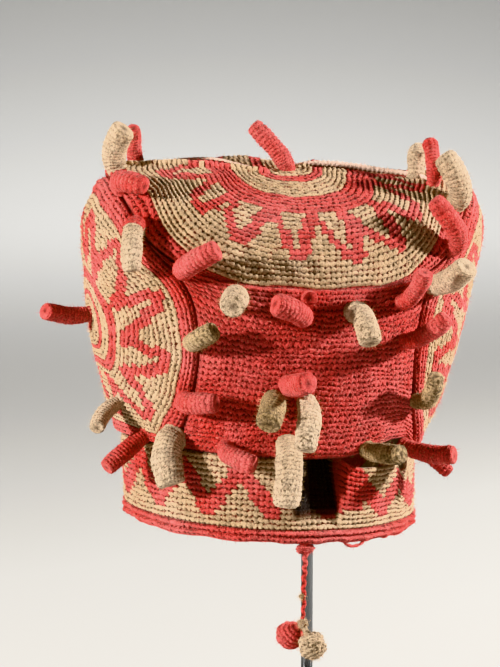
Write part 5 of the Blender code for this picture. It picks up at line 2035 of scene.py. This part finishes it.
@dataclass
class Fuzz:
    """Loose fibres that stand up all over the crochet."""

    count: int = 26000
    length: tuple[float, float] = (0.0010, 0.0034)
    thickness: float = 0.00008
    spread: float = 0.9

    def build(self, pieces: list[Piece], materials: dict[Yarn, Material], seed: int) -> None:
        """Make two pieces of needles, one for each colour of yarn.

        A needle is a long closed pyramid on three corners. It starts just under a point of a piece,
        chosen by lot among those with little painted shade, so out of folds and inner walls, and
        leans from the normal there by a random vector of up to the spread.
        """
        points, normals, red = [], [], []
        for piece in pieces:
            mesh = piece.data
            read = {}
            for name, owner, key, width in (
                ("co", mesh.vertices, "co", 3), ("normal", mesh.vertex_normals, "vector", 3),
                ("red", mesh.attributes["red"].data, "value", 1),
                ("deep", mesh.attributes["deep"].data, "value", 1),
            ):
                read[name] = np.empty(len(mesh.vertices) * width, dtype=np.float32)
                owner.foreach_get(key, read[name])
            open_place = read["deep"] < 0.3
            points.append(read["co"].reshape(-1, 3)[open_place])
            normals.append(read["normal"].reshape(-1, 3)[open_place])
            red.append(read["red"][open_place] > 0.5)
        rng = np.random.default_rng(seed)
        chosen = rng.choice(sum(len(p) for p in points), self.count, replace=False)
        root, normal = (np.concatenate(parts)[chosen].astype(float) for parts in (points, normals))
        is_red = np.concatenate(red)[chosen]
        strayed = unit(rng.normal(size=root.shape)) * rng.random((self.count, 1))
        aim = unit(normal + self.spread * strayed)
        foot = spokes(aim, rng.normal(size=root.shape), turns(3))
        low = root[:, None] - 0.0002 * aim[:, None] + self.thickness * foot
        high = root + aim * rng.uniform(*self.length, (self.count, 1))
        for yarn, own in ((RED, is_red), (NATURAL, ~is_red)):
            draft = Draft()
            corners = draft.add(low[own])
            tips = draft.add(high[own])
            for a, b in ((0, 1), (1, 2), (2, 0)):
                draft.triangles([corners[:, a], corners[:, b], tips])
            draft.triangles([corners[:, 2], corners[:, 1], corners[:, 0]])
            piece = draft.piece(f"cap_fuzz_{yarn.name.lower()}", materials[yarn])
            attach(piece, "root")


def main() -> None:
    """Build everything in order."""
    logging.basicConfig(level=logging.INFO, format="%(name)s: %(message)s")
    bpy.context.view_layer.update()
    Studio().build()
    groups = YarnGroups()
    natural = YarnFinish("natural_crochet", DISC_WEAVE).material(groups)
    red = YarnFinish("red_crochet", PLAIN_WEAVE).material(groups)
    burls = {
        yarn: YarnFinish(name, BURL_WEAVE, pale=pale, shade=shade).material(groups)
        for yarn, name, pale, shade in (
            (NATURAL, "natural_burl", (0.53, 0.395, 0.265), 0.75),
            (RED, "red_burl", YarnFinish.pale, 0.70),
            (WORN, "worn_burl", (0.36, 0.25, 0.13), 0.80),
        )
    }
    pendant = Pendant().build(burls[RED], burls[NATURAL])
    pieces = Cap(CapForm(), natural, red, burls).build()
    # the lip's yarn is lightened to a whitish pink as a painted highlight
    lip = YarnFinish("fold_yarn_painted_highlight", BURL_WEAVE, pale=(0.80, 0.58, 0.46)).material(groups)
    pieces.append(FoldRidge(CapForm()).build(lip))
    fibres = {
        RED: FibreFinish("red_fibre", (0.72, 0.11, 0.09), (0.42, 0.02, 0.02)).material(),
        NATURAL: FibreFinish("natural_fibre", (0.78, 0.56, 0.34), (0.42, 0.26, 0.13)).material(),
    }
    Fuzz().build([*pieces, *pendant[1:]], fibres, 500)
    Stand().build(SteelFinish().material(), WoodFinish().material())
    triangles = sum(
        sum(len(face.vertices) - 2 for face in piece.data.polygons)
        for piece in bpy.data.objects
        if piece.type == "MESH" and piece.name.startswith(("cap_", "stand_"))
    )
    log.info("%d triangles in all", triangles)


if __name__ == "__main__":
    main()
